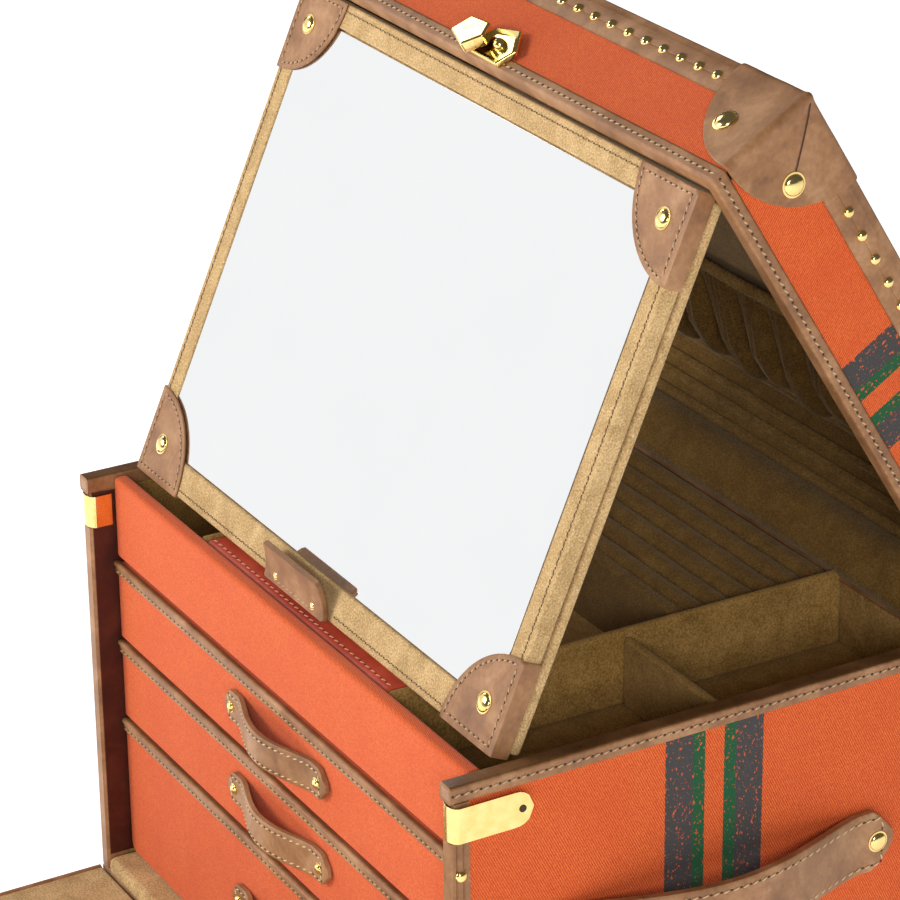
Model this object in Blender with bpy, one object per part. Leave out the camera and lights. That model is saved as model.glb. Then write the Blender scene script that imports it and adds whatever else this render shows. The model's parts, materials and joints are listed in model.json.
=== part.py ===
"""Leather-bound jewellery case: a trunk with a hinged lid, a mirror panel, three drawers and a drop front.

World frame: origin at the middle of the case's underside, +X to the case's right, -Y to its front, +Z up.
The case stands open: the lid is raised by LID_ANGLE, the mirror panel leans from the lid's front rim to just
above the tray, the drawers are shut and the front flap lies flat on the ground.
Sizes are written in millimetres and turned into metres by the mesh helpers.
"""
import math

import bmesh
import bpy
from mathutils import Matrix, Vector

MM = 0.001
GAP = 0.3

# Driving sizes of the case
CASE_WIDTH = 320.0
CASE_DEPTH = 232.0
CASE_HEIGHT = 200.0
BASE = 10.0
BED_TOP = 16.9
BED_SETBACK = 2.6
WALL = 6.4
BACK_WALL = 6.0
LEATHER = 0.8
RIM_HEIGHT = 7.3
RIM_LIP = 0.6
RIM_OVERHANG = 0.3
EDGE_BINDING = 8.0

# The front: fascia, drawers and their pulls
FRONT_RECESS = 11.3
FASCIA = 6.8
FASCIA_DROP = 1.1
DRAWER_TOPS = (159.7, 121.8, 83.5)
DRAWER_BOTTOM = 17.3
DRAWER_GAP = 1.2
DRAWER_FRONT = 7.0
DRAWER_WALL = 4.0
WELT_HEIGHT = 7.0
SHELF = 1.8
PULL_LENGTH = 88.0
PULL_WIDTH = 14.0
PULL_BOW = 10.6
PULL_THICKNESS = 2.6

# The tray under the lid
TRAY_DEPTH = 35.0
TRAY_FLOOR = 4.0
DIVIDER_X = 80.0
DIVIDER = 3.8
CROSS_DIVIDER_Y = 121.0
ROLLS_FRONT = 148.0
ROLL_COUNT = 6
PAD_DEPTH = 24.0

# Side handles and brass fittings
HANDLE_LENGTH = 164.0
HANDLE_WIDTH = 26.0
HANDLE_BOW = 19.0
HANDLE_THICKNESS = 4.0
HANDLE_Z = 124.3
CLIP_TOP = 191.4
CLIP_HEIGHT = 14.4
CLIP_LENGTH = 33.6
CLIP = 1.0
EDGE_STUD_DROPS = (37.0, 75.0, 113.0, 151.0)
EDGE_STUD_RADIUS = 2.0

# The lid, drawn shut and then turned open about the hinge line
LID_ANGLE = math.radians(58.6)
LID_HEIGHT = 47.8
LID_OVERHANG = 10.6
LID_FRONT_WALL = 6.2
LID_TOP = 4.0
LID_RIM = 6.7
HINGE_SETBACK = 2.7
HINGE_LENGTH = 34.0
HINGE_X = 95.0
HINGE_RADIUS = 2.1
BAND_BOTTOM = 32.6
BAND_STUD_HEIGHT = 38.7
BAND_STUD_PITCH = 12.0
BAND_STUD_RADIUS = 2.2
CAP_RADIUS = 39.7
CAP_RIVET_OFFSET = 23.0
RIVET_RADIUS = 4.6
HEAD_ROOT = 0.3

# The mirror panel, drawn hanging and then leaned back
MIRROR_LEAN = math.radians(23.4)
MIRROR_LENGTH = 218.5
MIRROR_HALF_WIDTH = 149.6
MIRROR_FRAME = 7.0
MIRROR_BACK = 4.2
MIRROR_BACK_GAP = 1.4
MIRROR_RECESS = 2.4
GLASS = 2.0
MIRROR_SIDE_BORDER = 10.6
MIRROR_BOTTOM_BORDER = 14.0
MIRROR_TOP_BORDER = 10.5
CORNER_RADIUS = 37.0
TAB_WIDTH = 50.0
TAB_HEIGHT = 15.0
TAB_THICKNESS = 2.4

# The drop front
FLAP_BINDING = 8.0
FLAP_TOP_GAP = 0.6
FLAP_SETBACK = 0.6

HALF = CASE_WIDTH / 2
FRONT = -CASE_DEPTH / 2
BACK = CASE_DEPTH / 2
BODY_HALF = HALF - LEATHER
INNER_HALF = BODY_HALF - WALL
ROOM_HALF = INNER_HALF - RIM_LIP - GAP
HINGE_Y = BACK + HINGE_SETBACK
LID_FRONT = FRONT - LID_OVERHANG
LID_Z = CASE_HEIGHT + GAP
LID_TOP_Z = CASE_HEIGHT + LID_HEIGHT


def clear_scene():
    for obj in list(bpy.data.objects):
        bpy.data.objects.remove(obj, do_unlink=True)


def material(name, colour, roughness, metallic=0.0):
    mat = bpy.data.materials.new(name)
    mat.use_nodes = True
    shader = mat.node_tree.nodes["Principled BSDF"]
    shader.inputs["Base Color"].default_value = (*colour, 1.0)
    shader.inputs["Roughness"].default_value = roughness
    shader.inputs["Metallic"].default_value = metallic
    return mat


def axis_empty(name, location, angle=0.0, parent=None):
    """An empty on a joint's axis, turned about X."""
    empty = bpy.data.objects.new(name, None)
    bpy.context.scene.collection.objects.link(empty)
    empty.location = Vector(location) * MM
    empty.rotation_euler = (angle, 0.0, 0.0)
    empty.parent = parent
    return empty


def new_object(name, bm, mat, parent=None, origin=(0.0, 0.0, 0.0), bevel=0.0, smooth=False):
    """Turn a bmesh drawn in millimetres into an object whose origin is the point its parent empty marks."""
    bmesh.ops.translate(bm, verts=bm.verts, vec=-Vector(origin))
    bmesh.ops.scale(bm, verts=bm.verts, vec=(MM, MM, MM))
    bmesh.ops.recalc_face_normals(bm, faces=bm.faces)
    mesh = bpy.data.meshes.new(name)
    bm.to_mesh(mesh)
    bm.free()
    obj = bpy.data.objects.new(name, mesh)
    bpy.context.scene.collection.objects.link(obj)
    obj.parent = parent
    mesh.materials.append(mat)
    if smooth:
        mesh.shade_smooth()
        mesh.set_sharp_from_angle(angle=math.radians(40))
    if bevel:
        edge = obj.modifiers.new("edge", "BEVEL")
        edge.width = bevel * MM
        edge.segments = 2
        edge.limit_method = "ANGLE"
    return obj


def add_box(bm, low, high):
    """Add a closed box between two corners to a bmesh."""
    made = bmesh.ops.create_cube(bm, size=1.0)["verts"]
    size = Vector(high) - Vector(low)
    bmesh.ops.scale(bm, verts=made, vec=size)
    bmesh.ops.translate(bm, verts=made, vec=(Vector(high) + Vector(low)) / 2)
    return made


def box(name, low, high, mat, **kept):
    bm = bmesh.new()
    add_box(bm, low, high)
    return new_object(name, bm, mat, **kept)


def prism(outline, start, end, along):
    """A bmesh of a closed outline pushed from start to end along an axis: 0, 1 or 2.

    The outline's two numbers fill the other two axes, in order.
    """
    bm = bmesh.new()
    others = [axis for axis in range(3) if axis != along]
    verts = []
    for a, b in outline:
        point = [0.0, 0.0, 0.0]
        point[others[0]], point[others[1]], point[along] = a, b, start
        verts.append(bm.verts.new(point))
    face = bm.faces.new(verts)
    moved = bmesh.ops.extrude_face_region(bm, geom=[face])["geom"]
    push = [0.0, 0.0, 0.0]
    push[along] = end - start
    bmesh.ops.translate(bm, verts=[g for g in moved if isinstance(g, bmesh.types.BMVert)], vec=push)
    return bm


def cutter(name, bm, parent=None, origin=(0.0, 0.0, 0.0)):
    obj = new_object(name, bm, MATERIALS["brass"], parent, origin)
    obj.hide_render = True
    obj.display_type = "WIRE"
    return obj


def combine(obj, tool, operation):
    step = obj.modifiers.new(tool.name, "BOOLEAN")
    step.operation = operation
    step.solver = "EXACT"
    step.object = tool
    return obj


def domes(points, radius, axis, outward, height):
    """Closed low domes, one at each point, for rivet and stud heads. outward is 1 or -1 along the axis."""
    bm = bmesh.new()
    squash = [1.0, 1.0, 1.0]
    squash[axis] = height / radius
    for point in points:
        made = bmesh.ops.create_uvsphere(bm, u_segments=12, v_segments=8, radius=radius)["verts"]
        bmesh.ops.scale(bm, verts=made, vec=squash)
        for vert in made:
            vert.co[axis] = max(vert.co[axis] * outward - HEAD_ROOT / 2, -HEAD_ROOT) * outward
        bmesh.ops.translate(bm, verts=made, vec=point)
    return bm


def add_heads(obj, points, radius, axis, outward, height, **kept):
    """Join rivet or stud heads onto a leather piece."""
    heads = cutter(obj.name + "_heads", domes(points, radius, axis, outward, height), **kept)
    return combine(obj, heads, "UNION")


def bowed_strap(length, land, bow, thickness, steps=14):
    """The plan outline of a strap that lies flat at both ends and bows out between: (along, out) pairs."""
    half = length / 2
    inner = []
    for i in range(steps + 1):
        along = -half + land + (length - 2 * land) * i / steps
        rise = 0.5 - 0.5 * math.cos(2 * math.pi * i / steps)
        inner.append((along, GAP + (bow - thickness) * math.sqrt(rise)))
    line = [(-half, GAP)] + inner + [(half, GAP)]
    outer = [(along, out + thickness) for along, out in reversed(line)]
    return line + outer


def well(low, high, side, floor):
    """A box open at the top, made by pushing a smaller opening down into a solid block."""
    bm = bmesh.new()
    add_box(bm, low, high)
    bm.faces.ensure_lookup_table()
    top = max(bm.faces, key=lambda f: f.calc_center_median().z)
    bmesh.ops.inset_individual(bm, faces=[top], thickness=side, use_even_offset=True)
    sunk = bmesh.ops.extrude_discrete_faces(bm, faces=[top])["faces"][0]
    bmesh.ops.translate(bm, verts=sunk.verts, vec=(0, 0, low[2] + floor - high[2]))
    return bm


MATERIALS = {}
LIE_ALONG_X = Matrix.Rotation(math.pi / 2, 3, "Y")


def make_materials():
    MATERIALS["canvas"] = material("orange_canvas", (0.75, 0.13, 0.04), 0.85)
    MATERIALS["leather"] = material("brown_leather", (0.24, 0.115, 0.06), 0.5)
    MATERIALS["suede"] = material("tan_suede", (0.55, 0.36, 0.17), 0.95)
    MATERIALS["red"] = material("red_leather", (0.55, 0.06, 0.03), 0.5)
    MATERIALS["brass"] = material("brass", (0.85, 0.6, 0.2), 0.2, 1.0)
    MATERIALS["glass"] = material("mirror_glass", (0.93, 0.93, 0.93), 0.03, 1.0)


def case_shell():
    wall_low = BASE + GAP
    wall_top = CASE_HEIGHT - RIM_HEIGHT - GAP
    base_panel()
    for side, name in ((-1, "left"), (1, "right")):
        xs = sorted((side * INNER_HALF, side * BODY_HALF))
        box(name + "_wall", (xs[0], FRONT + EDGE_BINDING + GAP, wall_low), (xs[1], BACK, wall_top),
            MATERIALS["canvas"])
        edge_binding(side, name, wall_low, wall_top)
        corner_clip(side, name)
        side_handle(side, name)
    box("back_wall", (-ROOM_HALF, BACK - BACK_WALL, wall_low), (ROOM_HALF, BACK, wall_top),
        MATERIALS["canvas"])
    case_rim_binding()


def base_panel():
    """The bottom board, with a raised bed between the walls that the lowest drawer slides on."""
    bm = bmesh.new()
    add_box(bm, (-ROOM_HALF, FRONT + BED_SETBACK, BASE - 3), (ROOM_HALF, BACK - BACK_WALL - GAP, BED_TOP))
    bed = cutter("base_bed", bm)
    panel = box("base_panel", (-HALF, FRONT, 0), (HALF, BACK, BASE), MATERIALS["canvas"])
    combine(panel, bed, "UNION")


def edge_binding(side, name, low, high):
    xs = sorted((side * (INNER_HALF - 0.2), side * HALF))
    obj = box(
        "edge_binding_" + name, (xs[0], FRONT, low), (xs[1], FRONT + EDGE_BINDING, high),
        MATERIALS["leather"],
        bevel=0.6,
    )
    bed = bmesh.new()
    add_box(bed, (xs[0] - 5, FRONT - 5, CLIP_TOP - CLIP_HEIGHT - GAP),
        (xs[1] + 5, FRONT + CLIP + GAP, CLIP_TOP + 5))
    combine(obj, cutter("clip_bed_" + name, bed), "DIFFERENCE")
    spots = [(side * HALF, FRONT + 3.8, CASE_HEIGHT - drop) for drop in EDGE_STUD_DROPS]
    add_heads(obj, spots, EDGE_STUD_RADIUS, 0, side, 1.1)


def case_rim_binding():
    """A leather-bound rim along the left wall, the back wall and the right wall, in one length."""
    low = CASE_HEIGHT - RIM_HEIGHT
    out = HALF + 0.2
    inside = INNER_HALF - RIM_LIP
    front = FRONT - RIM_OVERHANG
    back_in = BACK - BACK_WALL - 0.3
    outline = [
        (-out, front), (-inside, front), (-inside, back_in), (inside, back_in),
        (inside, front), (out, front), (out, BACK + 0.3), (-out, BACK + 0.3),
    ]
    new_object("case_rim_binding", prism(outline, low, CASE_HEIGHT, 2), MATERIALS["leather"], bevel=0.9)


def corner_clip(side, name):
    """A brass U let into the wall's front edge, with a rounded outer leg."""
    low = CLIP_TOP - CLIP_HEIGHT
    outer = HALF + GAP
    inner = INNER_HALF - 0.2 - GAP
    front = FRONT + CLIP
    leg = FRONT + CLIP_LENGTH
    inner_leg = FRONT + FRONT_RECESS - 1.0
    outline = [
        (outer + CLIP, FRONT), (outer + CLIP, leg), (outer, leg), (outer, front),
        (inner, front), (inner, inner_leg), (inner - CLIP, inner_leg), (inner - CLIP, FRONT),
    ]
    outline = [(side * x, y) for x, y in outline]
    obj = new_object("clip_" + name, prism(outline, low, CLIP_TOP, 2), MATERIALS["brass"])
    middle = (low + CLIP_TOP) / 2
    radius = CLIP_HEIGHT / 2
    centre = leg - radius
    steps = 8
    arc = [math.pi * (i / steps - 0.5) for i in range(steps + 1)]
    reach = HALF + 5
    keep = [(centre + radius * math.cos(a), middle + radius * math.sin(a)) for a in arc]
    waste = keep + [(centre + 2 * radius, middle + radius + 1), (centre + 2 * radius, middle - radius - 1)]
    trim = cutter("clip_end_" + name, prism(waste, side * (HALF - 1), side * reach, 0))
    combine(obj, trim, "DIFFERENCE")
    hole = bmesh.new()
    bmesh.ops.create_cone(hole, cap_ends=True, segments=16, radius1=1.5, radius2=1.5, depth=8)
    bmesh.ops.rotate(hole, verts=hole.verts, matrix=LIE_ALONG_X)
    bmesh.ops.translate(hole, verts=hole.verts, vec=(side * outer, centre + 2.4, middle))
    combine(obj, cutter("clip_hole_" + name, hole), "DIFFERENCE")


def side_handle(side, name):
    plan = bowed_strap(HANDLE_LENGTH, 16.0, HANDLE_BOW, HANDLE_THICKNESS)
    outline = [(side * (BODY_HALF + out), along - 2.6) for along, out in plan]
    bm = prism(outline, HANDLE_Z - HANDLE_WIDTH / 2, HANDLE_Z + HANDLE_WIDTH / 2, 2)
    obj = new_object("side_handle_" + name, bm, MATERIALS["leather"])
    face = BODY_HALF + GAP + HANDLE_THICKNESS
    reach = HANDLE_LENGTH / 2 - 8
    spots = [(side * face, end * reach - 2.6, HANDLE_Z) for end in (-1, 1)]
    add_heads(obj, spots, RIVET_RADIUS, 0, side, 1.6)


def tray():
    floor_top = CASE_HEIGHT - TRAY_DEPTH
    front = FRONT + FRONT_RECESS
    tray_front = front + FASCIA + GAP
    tray_back = BACK - BACK_WALL - GAP
    box(
        "fascia", (-ROOM_HALF, front, DRAWER_TOPS[0] + DRAWER_GAP),
        (ROOM_HALF, front + FASCIA, CASE_HEIGHT - FASCIA_DROP),
        MATERIALS["canvas"], bevel=1.8,
    )
    box("tray_floor", (-ROOM_HALF, tray_front, floor_top - TRAY_FLOOR), (ROOM_HALF, tray_back, floor_top),
        MATERIALS["suede"])
    low = floor_top + GAP
    for side, name in ((-1, "left"), (1, "right")):
        xs = sorted((side * (DIVIDER_X - DIVIDER / 2), side * (DIVIDER_X + DIVIDER / 2)))
        box("divider_" + name, (xs[0], tray_front, low), (xs[1], tray_back, CASE_HEIGHT - 2.4),
            MATERIALS["suede"],
            bevel=0.8)
    cross = FRONT + CROSS_DIVIDER_Y
    box("cross_divider", (DIVIDER_X + DIVIDER / 2 + GAP, cross, low),
        (ROOM_HALF - 0.4, cross + DIVIDER, CASE_HEIGHT - 5),
        MATERIALS["suede"], bevel=0.8)
    room = DIVIDER_X - DIVIDER / 2 - GAP
    box("front_pad", (-room, tray_front, low), (room, tray_front + PAD_DEPTH, CASE_HEIGHT - 2.6),
        MATERIALS["red"],
        bevel=1.6)
    ring_roll_cushion(room, FRONT + ROLLS_FRONT, tray_back, low)


def ring_roll_cushion(room, front, back, low):
    """Soft half-round ring rolls that run across the tray, behind a flat front border."""
    border = 7.0
    top = CASE_HEIGHT - 4.0
    pitch = (back - front - border) / ROLL_COUNT
    outline = [(back, low), (front, low), (front, top), (front + border, top)]
    steps = 6
    for roll in range(ROLL_COUNT):
        start = front + border + roll * pitch
        for i in range(1, steps + 1):
            angle = math.pi * i / (steps + 1)
            outline.append((start + pitch / 2 * (1 - math.cos(angle)), top - 7.0 + 7.0 * math.sin(angle)))
    outline.append((back, top - 7.0))
    new_object("ring_roll_cushion", prism(outline, -room, room, 0), MATERIALS["suede"])


def drawers():
    face = FRONT + FRONT_RECESS
    back = BACK - BACK_WALL - 2.0
    for number, top in enumerate(DRAWER_TOPS, start=1):
        bottom = DRAWER_TOPS[number] + DRAWER_GAP if number < len(DRAWER_TOPS) else DRAWER_BOTTOM
        slide = axis_empty("drawer_%d_axis" % number, (0, face, (top + bottom) / 2))
        kept = {"parent": slide, "origin": (0, face, (top + bottom) / 2)}
        drawer_box(number, face, back, bottom, top, kept)
        drawer_welt(number, face, top, kept)
        drawer_pull(number, face, (top + bottom) / 2, kept)
    for number, top in enumerate(DRAWER_TOPS[1:], start=1):
        box("drawer_shelf_%d" % number, (-ROOM_HALF, face + DRAWER_FRONT + 1.2, top - 1.0),
            (ROOM_HALF, BACK - BACK_WALL - GAP, top - 1.0 + SHELF), MATERIALS["suede"])


def drawer_box(number, face, back, bottom, top, kept):
    """A drawer with its canvas-faced front: the front stands proud of the box at both sides and below."""
    front_half = ROOM_HALF - 0.3
    box_half = front_half - 2.0
    front_top = top - WELT_HEIGHT - GAP
    side_top = top - 5.0
    name = "drawer_%d_box" % number
    obj = new_object(
        name, well((-box_half, face + DRAWER_FRONT - 1.0, bottom),
        (box_half, back, side_top), DRAWER_WALL, 3.0),
        MATERIALS["suede"], **kept,
    )
    front = bmesh.new()
    add_box(front, (-front_half, face, bottom), (front_half, face + DRAWER_FRONT, front_top))
    return combine(obj, cutter(name + "_front", front, **kept), "UNION")


def drawer_welt(number, face, top, kept):
    """A rolled leather strip along the top edge of a drawer front."""
    half = ROOM_HALF - 0.3
    low = top - WELT_HEIGHT
    outline = [
        (face + 3.4, low), (face - 0.3, low), (face - 0.3, low + 3.2), (face - 1.0, low + 4.2),
        (face - 1.2, top - 1.6),
        (face - 0.4, top - 0.4), (face + 1.0, top), (face + 3.4, top),
    ]
    new_object("drawer_%d_welt" % number, prism(outline, -half, half, 0), MATERIALS["leather"], **kept)


def drawer_pull(number, face, height, kept):
    plan = bowed_strap(PULL_LENGTH, 12.0, PULL_BOW, PULL_THICKNESS)
    outline = [(along, face - out) for along, out in plan]
    bm = prism(outline, height - PULL_WIDTH / 2, height + PULL_WIDTH / 2, 2)
    obj = new_object("drawer_%d_pull" % number, bm, MATERIALS["leather"], **kept)
    reach = PULL_LENGTH / 2 - 6.4
    spots = [(end * reach, face - GAP - PULL_THICKNESS, height) for end in (-1, 1)]
    add_heads(obj, spots, 2.6, 1, -1, 1.2, **kept)


def lid():
    hinge = (0, HINGE_Y, CASE_HEIGHT)
    axis = axis_empty("lid_axis", hinge, -LID_ANGLE)
    kept = {"parent": axis, "origin": hinge}
    lid_shell(kept)
    stud_bands(kept)
    for side, x_name in ((-1, "left"), (1, "right")):
        for end, y_name in ((-1, "front"), (1, "back")):
            corner_cap(side, end, "corner_cap_%s_%s" % (y_name, x_name), kept)
        hinges(side, x_name, kept)
    lid_inside(kept)
    latch(kept)


def lid_shell(kept):
    wall_low = LID_Z + LID_RIM + GAP
    wall_top = LID_TOP_Z - LID_TOP - GAP
    front = LID_FRONT + LEATHER
    inner_front = LID_FRONT + LID_FRONT_WALL
    box("lid_top", (-BODY_HALF, front, LID_TOP_Z - LID_TOP), (BODY_HALF, BACK, LID_TOP_Z),
        MATERIALS["canvas"],
        bevel=1.2, **kept)
    box("lid_front_wall", (-BODY_HALF, front, wall_low), (BODY_HALF, inner_front, wall_top),
        MATERIALS["canvas"], **kept)
    for side, name in ((-1, "left"), (1, "right")):
        xs = sorted((side * INNER_HALF, side * BODY_HALF))
        box("lid_%s_wall" % name, (xs[0], inner_front + GAP, wall_low), (xs[1], BACK, wall_top),
            MATERIALS["canvas"],
            **kept)
    box("lid_back_wall", (-ROOM_HALF, BACK - BACK_WALL, wall_low), (ROOM_HALF, BACK, wall_top),
        MATERIALS["canvas"],
        **kept)
    inside = INNER_HALF - RIM_LIP
    outline = [
        (-HALF, LID_FRONT), (HALF, LID_FRONT), (HALF, BACK), (inside, BACK), (inside, inner_front + 0.2),
        (-inside, inner_front + 0.2), (-inside, BACK), (-HALF, BACK),
    ]
    new_object("lid_rim_binding", prism(outline, LID_Z, LID_Z + LID_RIM, 2),
        MATERIALS["leather"], bevel=0.9, **kept)


def stud_bands(kept):
    """Leather bands under the lid's top edge, each with a row of small brass studs."""
    low = CASE_HEIGHT + BAND_BOTTOM
    high = LID_TOP_Z - 0.6
    skin = 0.7
    height = CASE_HEIGHT + BAND_STUD_HEIGHT
    half = HALF - CAP_RADIUS - 0.6
    face = LID_FRONT + LEATHER - GAP
    count = int(2 * half / BAND_STUD_PITCH)
    band = box("stud_band_front", (-half, face - skin, low), (half, face, high),
        MATERIALS["leather"], **kept)
    spots = [((i - (count - 1) / 2) * BAND_STUD_PITCH, face - skin, height) for i in range(count)]
    add_heads(band, spots, BAND_STUD_RADIUS, 1, -1, 1.3, **kept)
    front = LID_FRONT + CAP_RADIUS + 0.6
    back = BACK - CAP_RADIUS - 0.6
    count = int((back - front) / BAND_STUD_PITCH)
    for side, name in ((-1, "left"), (1, "right")):
        xs = sorted((side * (BODY_HALF + GAP), side * (BODY_HALF + GAP + skin)))
        band = box("stud_band_" + name, (xs[0], front, low), (xs[1], back, high),
            MATERIALS["leather"], **kept)
        middle = (front + back) / 2
        outer = side * (BODY_HALF + GAP + skin)
        spots = [(outer, middle + (i - (count - 1) / 2) * BAND_STUD_PITCH, height) for i in range(count)]
        add_heads(band, spots, BAND_STUD_RADIUS, 0, side, 1.3, **kept)


def corner_cap(side, end, name, kept):
    """A leather cap over one upper corner of the lid: three quarter rounds that meet at the corner."""
    skin = 0.9
    wall_x = BODY_HALF + GAP
    wall_y = LID_FRONT + LEATHER - GAP if end < 0 else BACK + GAP
    wall_z = LID_TOP_Z + GAP
    corner = Vector((side * wall_x, wall_y, wall_z))
    outer = corner + Vector((side * skin, end * skin, skin))
    inward = Vector((-side, -end, -1))
    far = corner + inward * (CAP_RADIUS + 6)
    bm = bmesh.new()
    add_box(bm, [min(a, b) for a, b in zip(outer, far)], [max(a, b) for a, b in zip(outer, far)])
    obj = new_object(name, bm, MATERIALS["leather"], **kept)
    core = bmesh.new()
    past = corner + inward * (CAP_RADIUS + 12)
    add_box(core, [min(a, b) for a, b in zip(corner, past)], [max(a, b) for a, b in zip(corner, past)])
    combine(obj, cutter(name + "_core", core, **kept), "DIFFERENCE")
    ball = bmesh.new()
    bmesh.ops.create_uvsphere(ball, u_segments=48, v_segments=24, radius=CAP_RADIUS)
    bmesh.ops.translate(ball, verts=ball.verts, vec=corner)
    combine(obj, cutter(name + "_reach", ball, **kept), "INTERSECT")
    drop = wall_z - CAP_RIVET_OFFSET
    on_side = [(outer.x, wall_y - end * CAP_RIVET_OFFSET, drop)]
    on_end = [(corner.x - side * CAP_RIVET_OFFSET, outer.y, drop)]
    side_heads = cutter(name + "_side_head", domes(on_side, RIVET_RADIUS, 0, side, 1.5), **kept)
    end_heads = cutter(name + "_end_head", domes(on_end, RIVET_RADIUS, 1, end, 1.5), **kept)
    combine(obj, side_heads, "UNION")
    return combine(obj, end_heads, "UNION")


def hinges(side, name, kept):
    """A brass hinge behind the rim: its barrel belongs to the case, its upper leaf to the lid."""
    middle = side * HINGE_X
    ends = (middle - HINGE_LENGTH / 2, middle + HINGE_LENGTH / 2)
    skin = 0.9
    back = BACK + GAP
    lower = box("hinge_" + name, (ends[0], back + 0.3, CASE_HEIGHT - 24),
        (ends[1], back + 0.3 + skin, CASE_HEIGHT + 0.5),
                MATERIALS["brass"])
    barrel = bmesh.new()
    bmesh.ops.create_cone(barrel, cap_ends=True, segments=20, radius1=HINGE_RADIUS, radius2=HINGE_RADIUS,
                          depth=HINGE_LENGTH * 0.5)
    bmesh.ops.rotate(barrel, verts=barrel.verts, matrix=LIE_ALONG_X)
    bmesh.ops.translate(barrel, verts=barrel.verts, vec=(middle, HINGE_Y, CASE_HEIGHT))
    combine(lower, cutter("hinge_barrel_" + name, barrel), "UNION")
    box("lid_hinge_leaf_" + name, (ends[0], back, LID_Z + HINGE_RADIUS + 0.6),
        (ends[1], back + skin, CASE_HEIGHT + 26),
        MATERIALS["brass"], **kept)


def lid_inside(kept):
    """The suede lining, an upturned tray inside the lid, and the gathered pocket under its top."""
    skin = 1.0
    front = LID_FRONT + LID_FRONT_WALL + GAP + 0.2
    back = BACK - BACK_WALL - GAP
    half = ROOM_HALF
    low = LID_Z + LID_RIM + 2 * GAP
    high = LID_TOP_Z - LID_TOP - GAP
    lining = well((-half, front, -high), (half, back, -low), skin, skin)
    for vert in lining.verts:
        vert.co.z = -vert.co.z
    bmesh.ops.reverse_faces(lining, faces=lining.faces)
    new_object("lid_lining", lining, MATERIALS["suede"], **kept)
    roof = high - skin - GAP
    box("lid_pocket", (-128, HINGE_Y - 104, roof - 10), (128, HINGE_Y - 22, roof),
        MATERIALS["suede"], bevel=3.0, **kept)


def latch(kept):
    """A brass clasp on the lid's front: a five-sided plate and a five-sided hook on its own pivot."""
    face = LID_FRONT - GAP
    plate = [(-13, 1.2), (9.6, 0.6), (13.0, 9.5), (4.0, 18.4), (-9.5, 15.0)]
    bm = prism([(x + 2.0, CASE_HEIGHT + z) for x, z in plate], face, face - 3.0, 1)
    new_object("latch_plate", bm, MATERIALS["brass"], bevel=0.4, **kept)
    hinge_world = (LATCH_PIVOT[0], LATCH_PIVOT[1] - HINGE_Y, LATCH_PIVOT[2] - CASE_HEIGHT)
    pivot = axis_empty("latch_axis", hinge_world, 0.0, kept["parent"])
    hook = [(-22.0, 4.0), (-8.0, 1.0), (-3.0, 8.5), (-7.5, 14.0), (-20.0, 13.0)]
    bm = prism([(x + 2.0, CASE_HEIGHT + z) for x, z in hook], face - 3.3, face - 7.6, 1)
    new_object("latch_hook", bm, MATERIALS["brass"], parent=pivot, origin=LATCH_PIVOT, bevel=0.4)


LATCH_PIVOT = (-5.5, LID_FRONT - 5.0, CASE_HEIGHT + 8.0)


def mirror_pivot():
    """The top front edge of the leaning panel, just inside the lid's front rim, in world millimetres."""
    reach = HINGE_Y - (LID_FRONT + LID_FRONT_WALL + 0.2) - 0.7
    sunk = -1.3
    y = HINGE_Y - reach * math.cos(LID_ANGLE) + sunk * math.sin(LID_ANGLE)
    z = CASE_HEIGHT + reach * math.sin(LID_ANGLE) + sunk * math.cos(LID_ANGLE)
    return (0, y, z)


def mirror_panel():
    """Drawn hanging from the origin with its face towards -Y, then leaned back about its top edge."""
    axis = axis_empty("mirror_axis", mirror_pivot(), -MIRROR_LEAN)
    kept = {"parent": axis}
    half = MIRROR_HALF_WIDTH
    length = MIRROR_LENGTH
    frame = box("mirror_frame", (-half, 0, -length), (half, MIRROR_FRAME, 0),
        MATERIALS["suede"], bevel=0.8, **kept)
    glass_half = half - MIRROR_SIDE_BORDER
    glass_low = -length + MIRROR_BOTTOM_BORDER
    glass_high = -MIRROR_TOP_BORDER
    depth = MIRROR_RECESS + GLASS + GAP
    hollow = bmesh.new()
    add_box(hollow, (-glass_half, -5, glass_low), (glass_half, depth, glass_high))
    combine(frame, cutter("mirror_hollow", hollow, **kept), "DIFFERENCE")
    box("mirror_glass", (-glass_half + GAP, MIRROR_RECESS, glass_low + GAP),
        (glass_half - GAP, MIRROR_RECESS + GLASS, glass_high - GAP), MATERIALS["glass"], **kept)
    back = MIRROR_FRAME + MIRROR_BACK_GAP
    box("mirror_back", (-half, back, -length + 1.0), (half, back + MIRROR_BACK, -2.5),
        MATERIALS["suede"], bevel=0.8, **kept)
    for side, x_name in ((-1, "left"), (1, "right")):
        for up, z_name in ((-1, "lower"), (1, "upper")):
            mirror_corner(side, up, "mirror_corner_%s_%s" % (z_name, x_name), kept)
    outline = [(-TAB_WIDTH / 2, -length - 0.9), (TAB_WIDTH / 2, -length - 0.9),
               (TAB_WIDTH / 2 - 3, -length + TAB_HEIGHT), (-TAB_WIDTH / 2 + 3, -length + TAB_HEIGHT)]
    new_object("mirror_tab", prism(outline, -GAP, -GAP - TAB_THICKNESS, 1),
        MATERIALS["leather"], bevel=0.6, **kept)


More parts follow.
